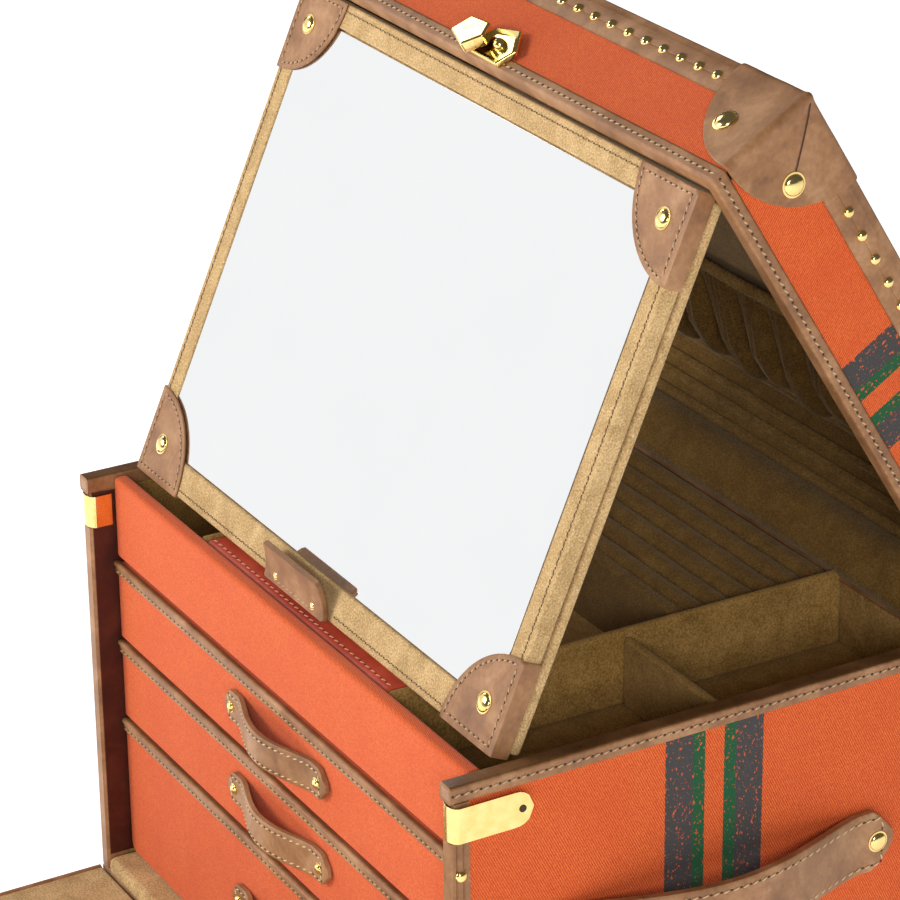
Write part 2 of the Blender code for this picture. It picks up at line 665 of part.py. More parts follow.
def mirror_corner(side, up, name, kept):
    """A quarter-round leather corner that wraps the panel's face and both edges, with a brass rivet."""
    skin = 0.8
    corner = Vector((side * (MIRROR_HALF_WIDTH + GAP), -GAP, GAP * up - (0 if up > 0 else MIRROR_LENGTH)))
    outer = corner + Vector((side * skin, -skin, 0.0 if up > 0 else -skin))
    inward = Vector((-side, 0, -up))
    far = corner + inward * (CORNER_RADIUS + 5) + Vector((0, MIRROR_FRAME, 0))
    bm = bmesh.new()
    add_box(bm, [min(a, b) for a, b in zip(outer, far)], [max(a, b) for a, b in zip(outer, far)])
    obj = new_object(name, bm, MATERIALS["leather"], **kept)
    core = bmesh.new()
    past = corner + inward * (CORNER_RADIUS + 9) + Vector((0, MIRROR_FRAME + 9, 4.0 if up > 0 else 0.0))
    add_box(core, [min(a, b) for a, b in zip(corner, past)], [max(a, b) for a, b in zip(corner, past)])
    combine(obj, cutter(name + "_core", core, **kept), "DIFFERENCE")
    steps = 48
    circle = [2 * math.pi * i / steps for i in range(steps)]
    rim = [(corner.x + CORNER_RADIUS * math.cos(a), corner.z + CORNER_RADIUS * math.sin(a)) for a in circle]
    combine(obj, cutter(name + "_reach", prism(rim, -10, 20, 1), **kept), "INTERSECT")
    spot = (corner.x - side * 15.3, outer.y, corner.z - up * 15.3)
    heads = cutter(name + "_head", domes([spot], RIVET_RADIUS, 1, -1, 1.5), **kept)
    return combine(obj, heads, "UNION")


def front_flap():
    """The drop front, drawn lying open. Its hinge runs along the base's top front edge."""
    axis = axis_empty("flap_axis", (0, FRONT - FLAP_SETBACK, BASE))
    kept = {"parent": axis, "origin": (0, FRONT - FLAP_SETBACK, BASE)}
    near = FRONT - FLAP_SETBACK - GAP
    far = near - (CASE_HEIGHT - BASE - FLAP_TOP_GAP - GAP)
    ring = bmesh.new()
    add_box(ring, (-HALF, far, 0), (HALF, near, BASE))
    obj = new_object("flap_binding", ring, MATERIALS["leather"], bevel=0.9, **kept)
    hollow = bmesh.new()
    add_box(hollow, (-HALF + FLAP_BINDING, far + FLAP_BINDING, -5),
        (HALF - FLAP_BINDING, near - FLAP_BINDING, BASE + 5))
    combine(obj, cutter("flap_hollow", hollow, **kept), "DIFFERENCE")
    edge = FLAP_BINDING + GAP
    box("flap_board", (-HALF + edge, far + edge, 0), (HALF - edge, near - edge, BASE - 0.6),
        MATERIALS["suede"], **kept)


def main():
    clear_scene()
    make_materials()
    case_shell()
    tray()
    drawers()
    lid()
    mirror_panel()
    front_flap()


main()
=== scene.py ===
"""Looks of the leather-bound jewellery case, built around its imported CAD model.

Sizes are in millimetres and turned into metres when a piece is made. The lid's pieces are drawn as if it
were shut and then turned open with it. The mirror panel's are drawn hanging from its hinge line.
"""
import json
import math
import random
from collections import namedtuple

import bmesh
import bpy
from mathutils import Matrix, Vector, noise


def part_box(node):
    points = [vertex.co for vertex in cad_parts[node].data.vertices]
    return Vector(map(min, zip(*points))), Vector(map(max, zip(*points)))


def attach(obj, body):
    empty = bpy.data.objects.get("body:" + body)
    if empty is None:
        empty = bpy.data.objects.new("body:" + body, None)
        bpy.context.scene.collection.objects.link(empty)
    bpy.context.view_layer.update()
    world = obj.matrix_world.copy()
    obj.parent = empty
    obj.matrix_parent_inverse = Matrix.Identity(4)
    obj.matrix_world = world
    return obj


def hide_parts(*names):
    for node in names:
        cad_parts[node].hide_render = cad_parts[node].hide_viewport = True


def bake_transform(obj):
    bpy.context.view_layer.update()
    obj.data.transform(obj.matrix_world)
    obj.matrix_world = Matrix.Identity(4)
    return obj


MM = 0.001
SIDES = ((-1, "left"), (1, "right"))
UP = Vector((0, 0, 1))
TO_FRONT, TO_BACK = (0, -1, 0), (0, 1, 0)

# Camera and light
CAMERA_PLACE = (1.1509, -0.6696, 0.8339)
CAMERA_AZIMUTH = 58.85
CAMERA_ELEVATION = 22.29
CAMERA_LENS = 144.9
CAMERA_SHIFT = (-0.122, -0.111)
FLOOR_GLOW = 0.8
WORLD_GREY = 0.11
WARM = (1.0, 0.985, 0.96)
WHITE_POWER = 2.5                   # power per square metre at which a light is the white of the picture
SOFT_BOXES = {                      # place, width, radiance
    "key": ((1.9, -0.95, 1.0), 0.6, 25.0),
    "front": ((-0.9, -2.1, 1.25), 0.9, 19.0),
    "glint": ((-1.75, -0.35, 1.45), 0.75, 5.0),
}
CARD_DIRECTION = Vector((-0.795, -0.600, 0.0))
CARD_AWAY = 3.0
CARD_SIZE = (2.6, 1.8)
CARD_RADIANCE = 1.12

# Case
HALF = 160.0                        # outside, over the leather
BODY_HALF = 159.2                   # over the canvas
INNER_HALF = 152.8
ROOM_HALF = 151.9                   # between the suede faces
FRONT = -116.0
BACK = 116.0
RIM = 200.0                         # where the lid shuts
RIM_BAND = 7.3
FLOOR_TOP = 10.2
FACE = -104.7                       # the drawers' fronts
TRAY_TOP = RIM - 35
TRAY_FRONT = FACE + 7.1
TRAY_BACK = BACK - 6.3
DIVIDER_TOP = 197.6
STRIPE_CENTRE = -2.6
STRIPE_REACH = 32.0
CLIP_LOW, CLIP_HIGH = 177.0, 191.4
CLIP_LENGTH = 33.6
EDGE_STUD_DROPS = (37.0, 75.0, 113.0, 151.0)
HANDLE_HEIGHT = 124.3
DRAWERS = ((1, 123.0, 159.7, 0), (2, 84.7, 121.8, 0), (3, 17.3, 83.5, 5.0))     # bottom, top, corner radius
ROLLS = 6

# Lid
LID_ANGLE = math.radians(58.6)
LID_FRONT = -126.6
LID_TOP = 247.8
LID_RIM_TOP = 207.0
LID_LOW = (-HALF, LID_FRONT, RIM)
LID_HIGH = (HALF, BACK, LID_TOP)
BAND_LOW = 232.6
BAND_STUD_Z = 238.7
BAND_STUD_PITCH = 12.0
BAND_RAISED = (-4.2, 5.2)
BAND_FOLD = 11.0
CAP_RADIUS = 40.8
EDGE_ROUND = 1.6
POCKET_HALF = 128.0
POCKET_BOTTOM = 97.0
POCKET_MOUTH = 20.7
POCKET_DEPTH = 13.5
HEM = 6.5
HINGE_PIN_Y = 118.7
KNUCKLES = 5

# Mirror panel
MIRROR_LEAN = math.radians(23.4)
MIRROR_HALF = 149.6
MIRROR_LENGTH = 218.5
CORNER_RADIUS = 37.0
GLASS_SIDE = 139.0
GLASS_LOW = -MIRROR_LENGTH + 14.0
GLASS_HIGH = -10.5
TAB_BEND = 8.0

# Straps: the land is what lies flat at each end, and the inset is from the edge to the stitches
Strap = namedtuple("Strap", "length width thickness bow land tip inset pitch")
HANDLE = Strap(164, 26, 4.0, 19.5, 17, 9.0, 2.9, 4.4)
PULL = Strap(88, 14, 2.8, 10.6, 13, 5.0, 1.9, 3.6)

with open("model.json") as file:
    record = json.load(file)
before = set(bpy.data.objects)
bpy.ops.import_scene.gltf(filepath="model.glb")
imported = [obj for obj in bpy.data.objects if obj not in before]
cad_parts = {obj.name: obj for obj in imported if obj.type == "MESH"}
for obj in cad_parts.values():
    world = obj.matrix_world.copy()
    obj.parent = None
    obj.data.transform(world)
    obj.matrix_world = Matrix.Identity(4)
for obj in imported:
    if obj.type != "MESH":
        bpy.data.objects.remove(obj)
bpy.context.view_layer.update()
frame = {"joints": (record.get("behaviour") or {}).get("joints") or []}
JOINTS = {joint["name"]: Vector(joint["pos_m"]) for joint in frame["joints"] if "pos_m" in joint}


def turned_about(point, angle):
    """Turns drawn-shut coordinates about a joint's line along X."""
    return Matrix.Translation(point) @ Matrix.Rotation(angle, 4, "X") @ Matrix.Translation(-point)


CASE_PLACE = Matrix.Identity(4)
LID_PLACE = turned_about(JOINTS["lid_hinge"], -LID_ANGLE)
MIRROR_PLACE = Matrix.Translation(JOINTS["mirror_fold"]) @ Matrix.Rotation(-MIRROR_LEAN, 4, "X")
PLACES = {"lid": LID_PLACE, "latch": LID_PLACE, "mirror_panel": MIRROR_PLACE}


# ---------------------------------------------------------------- materials
def plug(tree, socket, value):
    """Links a socket to another, or sets its own value."""
    if isinstance(value, bpy.types.NodeSocket):
        tree.links.new(value, socket)
    else:
        socket.default_value = value


class Recipe:
    """A Principled material whose nodes are added one call at a time."""

    def __init__(self, name, roughness=0.5, metallic=0.0):
        self.material = bpy.data.materials.new(name)
        self.material.use_nodes = True
        self.tree = self.material.node_tree
        self.shader = self.tree.nodes["Principled BSDF"]
        self.set("Roughness", roughness)
        self.set("Metallic", metallic)
        place = self.add("ShaderNodeTexCoord").outputs["Object"]
        self.mm = self.scaled(place, (1000, 1000, 1000))

    def add(self, kind, inputs=None, **settings):
        node = self.tree.nodes.new(kind)
        for key, value in settings.items():
            setattr(node, key, value)
        for key, value in (inputs or {}).items():
            plug(self.tree, node.inputs[key], value)
        return node

    def scaled(self, vector, scale):
        return self.add("ShaderNodeMapping", {"Vector": vector, "Scale": scale}).outputs[0]

    def noise(self, size, detail=3.0, vector=None, distortion=0.0):
        """Noise whose features are about size millimetres wide."""
        kept = {"Vector": vector or self.mm, "Scale": 1 / size, "Detail": detail, "Distortion": distortion}
        return self.add("ShaderNodeTexNoise", kept).outputs["Fac"]

    def math(self, operation, a, b=0.0):
        return self.add("ShaderNodeMath", {0: a, 1: b}, operation=operation).outputs[0]

    def times(self, a, b):
        return self.math("MULTIPLY", a, b)

    def weighed(self, a, a_share, b, b_share):
        return self.math("ADD", self.times(a, a_share), self.times(b, b_share))

    def ramp(self, value, stops, interpolation="LINEAR"):
        node = self.add("ShaderNodeValToRGB", {0: value})
        node.color_ramp.interpolation = interpolation
        elements = node.color_ramp.elements
        while len(elements) < len(stops):
            elements.new(0.5)
        for element, (position, colour) in zip(elements, stops):
            element.position = position
            element.color = (*colour, 1.0) if hasattr(colour, "__len__") else (colour, colour, colour, 1.0)
        return node.outputs[0]

    def mix(self, factor, a, b):
        node = self.add("ShaderNodeMix", data_type="RGBA")
        for index, value in ((0, factor), (6, a), (7, b)):
            plug(self.tree, node.inputs[index], (*value, 1.0) if isinstance(value, tuple) else value)
        return node.outputs[2]

    def bump(self, height, distance_mm, strength):
        kept = {"Height": height, "Distance": distance_mm * MM, "Strength": strength}
        self.set("Normal", self.add("ShaderNodeBump", kept).outputs[0])

    def set(self, name, value):
        plug(self.tree, self.shader.inputs[name], value)


ORANGE_DARK = (0.44, 0.048, 0.009)
ORANGE = (0.66, 0.104, 0.020)
ORANGE_LIGHT = (0.84, 0.205, 0.048)
ORANGE_CLOUD = (0.56, 0.058, 0.018)
CHARCOAL = (0.062, 0.060, 0.060)
GREEN = (0.008, 0.105, 0.036)
INK_SHADE = (0.030, 0.030, 0.029)


def canvas(name, striped=False):
    """Twill: fine slanting ribs, broken up along their length by the weft threads."""
    r = Recipe(name, roughness=0.85)
    r.set("Specular IOR Level", 0.2)
    ribs = r.add("ShaderNodeTexWave", {
        "Vector": r.scaled(r.mm, (1.0, 1.0, 0.5)), "Scale": 0.62, "Distortion": 1.6, "Detail": 2.0,
        "Detail Scale": 2.4,
    }, wave_type="BANDS", bands_direction="DIAGONAL").outputs["Fac"]
    threads = r.noise(0.5, 3.0)
    cloudy = r.noise(26.0, 3.0)
    relief = r.weighed(ribs, 0.36, threads, 0.72)
    cloth = r.ramp(relief, [(0.30, ORANGE_DARK), (0.55, ORANGE), (0.82, ORANGE_LIGHT)])
    cloth = r.mix(r.ramp(cloudy, [(0.35, 0.0), (0.75, 0.3)]), cloth, ORANGE_CLOUD)
    if striped:
        cloth = printed_stripes(r, cloth, relief)
    r.set("Base Color", cloth)
    r.set("Sheen Weight", 0.12)
    r.set("Sheen Roughness", 0.5)
    r.bump(relief, 0.16, 0.9)
    return r.material


def printed_stripes(r, cloth, relief):
    """Charcoal, green, bare cloth, green, charcoal. The print is worn through in specks and at its edges."""
    ragged = r.times(r.math("SUBTRACT", r.noise(0.9, 3.0), 0.5), 0.9)
    along = r.add("ShaderNodeSeparateXYZ", {0: r.mm}).outputs["Y"]
    off_centre = r.math("ABSOLUTE", r.math("ADD", r.math("SUBTRACT", along, STRIPE_CENTRE), ragged))
    place = r.math("DIVIDE", off_centre, STRIPE_REACH)
    ink = r.ramp(place, [(0.0, GREEN), (0.3, CHARCOAL)], "CONSTANT")
    printed = r.ramp(place, [(0.0, 0.0), (0.131, 1.0), (0.681, 0.0)], "CONSTANT")
    worn = r.ramp(r.noise(1.25, 4.0, r.scaled(r.mm, (1.0, 1.0, 0.75))), [(0.625, 0.0), (0.65, 1.0)])
    crumbs = r.ramp(r.noise(0.9, 1.0), [(0.27, 0.0), (0.31, 1.0)])
    kept = r.times(r.math("SUBTRACT", 1.0, r.times(worn, 0.9)), crumbs)
    ink = r.mix(r.times(relief, 0.35), ink, INK_SHADE)
    return r.mix(r.times(printed, kept), cloth, ink)


def leather(name, dark, mid, light, roughness=0.46):
    """Smooth waxed hide: cloudy colour, fine pores, faint creases."""
    r = Recipe(name, roughness=roughness)
    clouds = r.noise(17.0, 4.0, distortion=0.6)
    flecks = r.noise(2.2, 4.0)
    r.set("Base Color", r.ramp(r.weighed(clouds, 0.7, flecks, 0.3),
                               [(0.32, dark), (0.5, mid), (0.68, light)]))
    cells = r.add("ShaderNodeTexVoronoi", {"Vector": r.mm, "Scale": 1.5}, feature="DISTANCE_TO_EDGE")
    pores = r.times(r.math("MINIMUM", cells.outputs["Distance"], 0.16), 2.2)
    creases = r.noise(6.0, 6.0, distortion=1.4)
    r.bump(r.math("ADD", pores, r.times(creases, 0.9)), 0.16, 0.55)
    r.set("Roughness", r.ramp(flecks, [(0.3, roughness - 0.09), (0.7, roughness + 0.12)]))
    r.set("Coat Weight", 0.10)
    r.set("Coat Roughness", 0.3)
    r.set("Specular IOR Level", 0.35)
    return r.material


def suede(name, dark, mid, light):
    """Brushed nap: soft blotches where it lies one way or the other, and a fuzzy surface."""
    r = Recipe(name, roughness=0.95)
    blotches = r.noise(11.0, 3.0, distortion=0.8)
    fuzz = r.noise(0.8, 4.0)
    r.set("Base Color", r.ramp(r.weighed(blotches, 0.30, fuzz, 0.70),
                               [(0.36, dark), (0.5, mid), (0.64, light)]))
    r.set("Sheen Weight", 0.16)
    r.set("Sheen Roughness", 0.45)
    r.set("Sheen Tint", (0.95, 0.85, 0.65, 1.0))
    r.set("Specular IOR Level", 0.2)
    r.bump(fuzz, 0.22, 0.8)
    return r.material


def brass(name):
    r = Recipe(name, roughness=0.16, metallic=1.0)
    haze = r.noise(5.0, 4.0)
    r.set("Base Color", r.ramp(haze, [(0.3, (0.83, 0.60, 0.20)), (0.7, (0.92, 0.72, 0.31))]))
    r.set("Roughness", r.ramp(r.noise(1.4, 5.0), [(0.3, 0.10), (0.75, 0.24)]))
    r.bump(haze, 0.02, 0.25)
    return r.material


def mirror_silver(name):
    r = Recipe(name, roughness=0.012, metallic=1.0)
    r.set("Base Color", r.ramp(r.noise(60.0, 2.0),
                               [(0.3, (0.885, 0.895, 0.90)), (0.7, (0.90, 0.905, 0.91))]))
    return r.material


def thread(name, tone):
    r = Recipe(name, roughness=0.7)
    twist = r.noise(0.5, 2.0)
    r.set("Base Color", r.mix(twist, tone, tuple(part * 0.66 for part in tone)))
    r.bump(twist, 0.08, 0.6)
    return r.material


def shadow_line(name):
    """The sunk line that a seam lies in, or the inside of a small hole."""
    r = Recipe(name, roughness=0.8)
    r.set("Base Color", r.mix(r.noise(1.2, 2.0), (0.030, 0.012, 0.006), (0.075, 0.032, 0.016)))
    return r.material


CANVAS = canvas("orange_twill")
STRIPED = canvas("orange_twill_striped", striped=True)
LEATHER = leather("brown_hide", (0.19, 0.080, 0.030), (0.31, 0.145, 0.058), (0.45, 0.240, 0.115))
LEATHER_EDGE = leather("brown_hide_edge", (0.30, 0.15, 0.08), (0.42, 0.23, 0.13), (0.55, 0.34, 0.20), 0.55)
# A darker copy of the brown hide for the rim binding's upward faces: painted shade on its top.
LEATHER_TOP_PAINTED_SHADE = leather("brown_hide_top_painted_shade", (0.10, 0.042, 0.014), (0.17, 0.075, 0.027), (0.25, 0.12, 0.05),
                       0.36)
DARK = leather("oxblood_hide", (0.030, 0.005, 0.003), (0.060, 0.009, 0.004), (0.095, 0.018, 0.009), 0.5)
RED = leather("red_hide", (0.42, 0.045, 0.022), (0.52, 0.065, 0.030), (0.62, 0.095, 0.045), 0.5)
SUEDE = suede("tan_suede", (0.32, 0.20, 0.085), (0.50, 0.325, 0.145), (0.70, 0.49, 0.25))
# A darker copy of the tan suede for the tray and the walls' inner faces: painted shade inside the case.
SHADED = suede("tray_suede_painted_shade", (0.21, 0.115, 0.026), (0.33, 0.185, 0.050), (0.46, 0.28, 0.090))
# The pocket's suede: the lining suede at about half its brightness, painted shade for the pocket's shadowed
# folds.
POCKET_SUEDE_PAINTED_SHADE = suede("pocket_suede_painted_shade", (0.062, 0.028, 0.005), (0.105, 0.052, 0.010), (0.165, 0.090, 0.021))
# The lining, rolls, gusset, hem and ribs: the lining's own dark suede, darkened further with painted shade
# for the shaded lid and tray.
OLIVE = suede("lining_suede", (0.12, 0.058, 0.011), (0.185, 0.098, 0.021), (0.27, 0.155, 0.042))
BRASS = brass("polished_brass")
SILVER = mirror_silver("mirror_silver")
THREAD = thread("pale_thread", (0.62, 0.42, 0.24))
BRIGHT_THREAD = thread("bright_thread", (0.82, 0.62, 0.34))
SUEDE_THREAD = thread("brown_thread", (0.26, 0.155, 0.07))
RED_THREAD = thread("rose_thread", (0.80, 0.30, 0.18))
GROOVE = shadow_line("seam_shadow")


# ---------------------------------------------------------------- mesh helpers
def piece(name, bm, materials, body, replaces=None, smooth=40, bevel=0.0, thick=0.0):
    """Makes an object from a bmesh drawn in millimetres, where its body lies, riding on that body."""
    materials = materials if isinstance(materials, list) else [materials]
    bmesh.ops.scale(bm, verts=bm.verts, vec=(MM, MM, MM))
    mesh = bpy.data.meshes.new(name)
    bm.to_mesh(mesh)
    bm.free()
    for material in materials:
        mesh.materials.append(material)
    obj = bpy.data.objects.new(name, mesh)
    bpy.context.scene.collection.objects.link(obj)
    obj.matrix_world = PLACES.get(body, CASE_PLACE)
    if thick:
        shell = obj.modifiers.new("thickness", "SOLIDIFY")
        shell.thickness = thick * MM
        shell.offset = 1.0
    if bevel:
        edge = obj.modifiers.new("edge", "BEVEL")
        edge.width = bevel * MM
        edge.segments = 3
        edge.limit_method = "ANGLE"
    mesh.shade_smooth()
    if smooth < 180:
        mesh.set_sharp_from_angle(angle=math.radians(smooth))
        flats = obj.modifiers.new("flats", "WEIGHTED_NORMAL")
        flats.keep_sharp = True
    if body:
        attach(obj, body)
    if replaces:
        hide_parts(replaces)
    return obj


def add_box(bm, corner, opposite, round_by=0.0, segments=3):
    """Adds a box with rounded edges between two opposite corners."""
    low, high = (Vector(map(pick, corner, opposite)) for pick in (min, max))
    made = bmesh.ops.create_cube(bm, size=1.0)["verts"]
    bmesh.ops.scale(bm, verts=made, vec=high - low)
    bmesh.ops.translate(bm, verts=made, vec=(high + low) / 2)
    if round_by:
        edges = list(dict.fromkeys(edge for vert in made for edge in vert.link_edges))
        bmesh.ops.bevel(bm, geom=edges, offset=round_by, segments=segments, profile=0.5, affect="EDGES",
                        clamp_overlap=True)


def rounded_box(corner, opposite, round_by=1.0, segments=3):
    bm = bmesh.new()
    add_box(bm, corner, opposite, round_by, segments)
    return bm


def skin(bm, rows, around=False, closed=False, capped=False, recalc=True):
    """Joins rows of points with faces.

    Around closes each row on itself, closed joins the last row to the first, and capped fills both ends.
    """
    rows = [[bm.verts.new(point) for point in row] for row in rows]
    count = len(rows[0])
    for a, b in zip(rows, rows[1:] + (rows[:1] if closed else [])):
        for k in range(count if around else count - 1):
            following = (k + 1) % count
            bm.faces.new((a[k], a[following], b[following], b[k]))
    if capped:
        bm.faces.new(rows[0])
        bm.faces.new(reversed(rows[-1]))
    if recalc:
        bmesh.ops.recalc_face_normals(bm, faces=bm.faces)
    return bm


def face_towards(bm, index, direction):
    """Turns every face over if this one looks away from the direction."""
    bm.faces.ensure_lookup_table()
    if bm.faces[index].normal.dot(Vector(direction)) < 0:
        bmesh.ops.reverse_faces(bm, faces=bm.faces)


def second_material(bm, direction, above=0.5):
    """Gives the second material to the faces that look in a direction."""
    for face in bm.faces:
        if face.normal.dot(Vector(direction)) > above:
            face.material_index = 1


def sweep(points, profile, closed=False):
    """Pushes a closed profile of (side, up) pairs along a flat, mitred path. Side is to its right."""
    path = [Vector(point) for point in points]
    rings = []
    last = len(path) - 1
    for i, point in enumerate(path):
        before = path[i] - path[i - 1] if (i or closed) else path[1] - path[0]
        after = path[(i + 1) % len(path)] - path[i] if (i < last or closed) else path[i] - path[i - 1]
        before.normalize()
        after.normalize()
        tangent = (before + after).normalized()
        side = tangent.cross(UP).normalized()
        stretch = 1 / max(0.35, tangent.dot(after))
        rings.append([point + side * a * stretch + UP * b for a, b in profile])
    return skin(bmesh.new(), rings, around=True, closed=closed, capped=not closed)


def rounded_profile(low, high, radius, steps=4):
    """A rectangle with rounded corners as (side, up) pairs."""
    points = []
    for x, y, start in ((high[0], high[1], 0), (low[0], high[1], 90), (low[0], low[1], 180),
                        (high[0], low[1], 270)):
        cx = x - math.copysign(radius, x - (low[0] + high[0]) / 2)
        cy = y - math.copysign(radius, y - (low[1] + high[1]) / 2)
        points += arc((cx, cy), radius, start, start + 90, steps)
    return points


def arc(centre, radius, start, end, steps):
    """Points on an arc in a plane, as pairs. Angles are in degrees."""
    angles = [math.radians(start + (end - start) * i / steps) for i in range(steps + 1)]
    return [(centre[0] + radius * math.cos(a), centre[1] + radius * math.sin(a)) for a in angles]


def soften(bm, low, high, radius):
    """Rounds what lies on a box: its sharp edges and corners become arcs of the given radius."""
    low, high = Vector(low), Vector(high)
    for vert in bm.verts:
        pull = []
        for axis in range(3):
            near_high = vert.co[axis] > (low[axis] + high[axis]) / 2
            depth = high[axis] - vert.co[axis] if near_high else vert.co[axis] - low[axis]
            pull.append((max(0.0, 1 - max(depth, 0.0) / radius), near_high))
        if sum(amount > 0 for amount, _ in pull) < 2:
            continue
        strength = math.sqrt(sum(amount * amount for amount, _ in pull))
        for axis, (amount, near_high) in enumerate(pull):
            if amount > 0:
                depth = radius * (1 - amount / strength)
                vert.co[axis] = high[axis] - depth if near_high else low[axis] + depth


def resample(points, pitch):
    """Evenly spaced (point, direction) pairs along a polyline."""
    points = [Vector(point) for point in points]
    lengths = [(b - a).length for a, b in zip(points, points[1:])]
    total = sum(lengths)
    count = max(1, round(total / pitch))
    spots = []
    for i in range(count):
        left = total * (i + 0.5) / count
        for a, b, length in zip(points, points[1:], lengths):
            if left <= length:
                direction = (b - a).normalized()
                spots.append((a + direction * left, direction))
                break
            left -= length
    return spots


def sphere_parts(around=8, stacks=5):
    """The points and faces of a unit sphere, for the many small beads that threads are made of."""
    points = [(0.0, 0.0, 1.0), (0.0, 0.0, -1.0)]
    for j in range(1, stacks):
        tilt = math.pi * j / stacks
        for k in range(around):
            turn = 2 * math.pi * k / around
            points.append((math.sin(tilt) * math.cos(turn), math.sin(tilt) * math.sin(turn),
                           math.cos(tilt)))
    faces = []
    for k in range(around):
        following = (k + 1) % around
        faces.append((0, 2 + k, 2 + following))
        for j in range(stacks - 2):
            upper, lower = 2 + j * around, 2 + (j + 1) * around
            faces.append((upper + k, lower + k, lower + following, upper + following))
        last = 2 + (stacks - 2) * around
        faces.append((last + following, last + k, 1))
    return [Vector(point) for point in points], faces


BEAD_POINTS, BEAD_FACES = sphere_parts()


class Seam:
    """Runs of hand-sewn stitches: short slanting threads between dark needle holes."""

    def __init__(self):
        self.points, self.faces, self.materials = [], [], []

    def run(self, points, normal, pitch=4.4, width=0.62, askew=20.0):
        """Normal is a vector, or a function that gives one for a direction along the seam."""
        for spot, along in resample(points, pitch):
            facing = (normal(along) if callable(normal) else Vector(normal)).normalized()
            across = facing.cross(along).normalized()
            basis = Matrix((along, across, facing)).transposed().to_4x4()
            slant = Matrix.Rotation(math.radians(askew), 4, "Z")
            self.bead(Matrix.Translation(spot + facing * 0.14) @ basis @ slant,
                      (pitch * 0.33, width / 2, 0.34), 0)
            self.bead(Matrix.Translation(spot - along * pitch / 2) @ basis,
                      (pitch * 0.17, width * 0.74, 0.13), 1)
        return self

    def bead(self, place, half_sizes, material):
        place = place @ Matrix.Diagonal((*half_sizes, 1))
        self.add([place @ point for point in BEAD_POINTS], BEAD_FACES, material)

    def add(self, points, faces, material):
        first = len(self.points)
        self.points += points
        self.faces += [[first + index for index in face] for face in faces]
        self.materials += [material] * len(faces)

    def channel(self, points, normal, width):
        """A sunk dark line along the points."""
        points, normal = [Vector(point) for point in points], Vector(normal)
        strip, faces = [], []
        for i, point in enumerate(points):
            along = (points[min(i + 1, len(points) - 1)] - points[max(i - 1, 0)]).normalized()
            across = normal.cross(along).normalized() * width / 2
            strip += [point + across + normal * 0.05, point - across + normal * 0.05]
            if i:
                faces.append((2 * i - 2, 2 * i - 1, 2 * i + 1, 2 * i))
        self.add(strip, faces, 1)
        return self

    def finish(self, name, body, material=None):
        mesh = bpy.data.meshes.new(name + "_parts")
        mesh.from_pydata(self.points, [], self.faces)
        mesh.polygons.foreach_set("material_index", self.materials)
        bm = bmesh.new()
        bm.from_mesh(mesh)
        bpy.data.meshes.remove(mesh)
        return piece(name, bm, [material or THREAD, GROOVE], body, smooth=180)


def edge_stitches(name, body, height, side_half, side_ends, end_half, end_y, pitch=3.9, width=0.8):
    """Stitches along both sides of the case or lid and across its front or back."""
    seam = Seam()
    for side, _ in SIDES:
        seam.run([(side * side_half, y, height) for y in side_ends], (side, 0, 0), pitch, width)
    facing = (0, math.copysign(1, end_y), 0)
    seam.run([(-end_half, end_y, height), (end_half, end_y, height)], facing, pitch, width)
    seam.finish(name, body)


def add_rivet(bm, spot, normal, radius, height, collar=True):
    """A turned head: a low dome, on a narrow flat collar if it has one, as one lathe shape."""
    segments = 20
    dome = radius * (0.86 if collar else 0.999)
    step = 0.35 * collar
    outline = [(dome * math.sin(a), step + (height - step) * math.cos(a))
               for a in (math.pi / 2 * i / 6 for i in range(1, 7))]
    outline += [(radius, 0.3 * collar), (radius, -0.4)]
    place = Matrix.Translation(spot) @ Vector(normal).to_track_quat("Z", "Y").to_matrix().to_4x4()
    top = bm.verts.new(place @ Vector((0, 0, height)))
    ring = None
    for r, z in outline:
        circle = [2 * math.pi * k / segments for k in range(segments)]
        fresh = [bm.verts.new(place @ Vector((r * math.cos(a), r * math.sin(a), z))) for a in circle]
        for k in range(segments):
            following = (k + 1) % segments
            if ring is None:
                bm.faces.new((top, fresh[k], fresh[following]))
            else:
                bm.faces.new((ring[k], fresh[k], fresh[following], ring[following]))
        ring = fresh
    bm.faces.new(reversed(ring))


def rivets(name, spots, body, radius=4.6, height=1.9, collar=True):
    bm = bmesh.new()
    for spot, normal in spots:
        add_rivet(bm, spot, normal, radius, height, collar)
    return piece(name, bm, BRASS, body, smooth=50)


# ---------------------------------------------------------------- case body
def side_wall(side, name):
    """Canvas outside, suede inside, and dark leather where the drawers run past the front edge."""
    inner, outer = (side * INNER_HALF, FRONT + 7.6, FLOOR_TOP), (side * BODY_HALF, BACK,
                                                                 RIM - RIM_BAND + 0.4)
    bm = rounded_box(inner, outer, 0.5, 2)
    second_material(bm, (-side, 0, 0))
    piece("wall_" + name, bm, [STRIPED, SHADED], "case", name + "_wall")
    jamb = rounded_box((side * (INNER_HALF - 0.5), FRONT + 1.4, 17.2),
                       (side * (INNER_HALF + 0.1), FACE + 7.5, RIM - RIM_BAND), 0.25, 2)
    piece("jamb_" + name, jamb, DARK, "case")
    height, inner = 52.0, side * (INNER_HALF - 0.52)
    joint = [(inner, FRONT + 1.6, height), (inner, FACE, height + 0.5)]
    Seam().channel(joint, (-side, 0, 0), 0.5).finish("jamb_joint_" + name, "case")


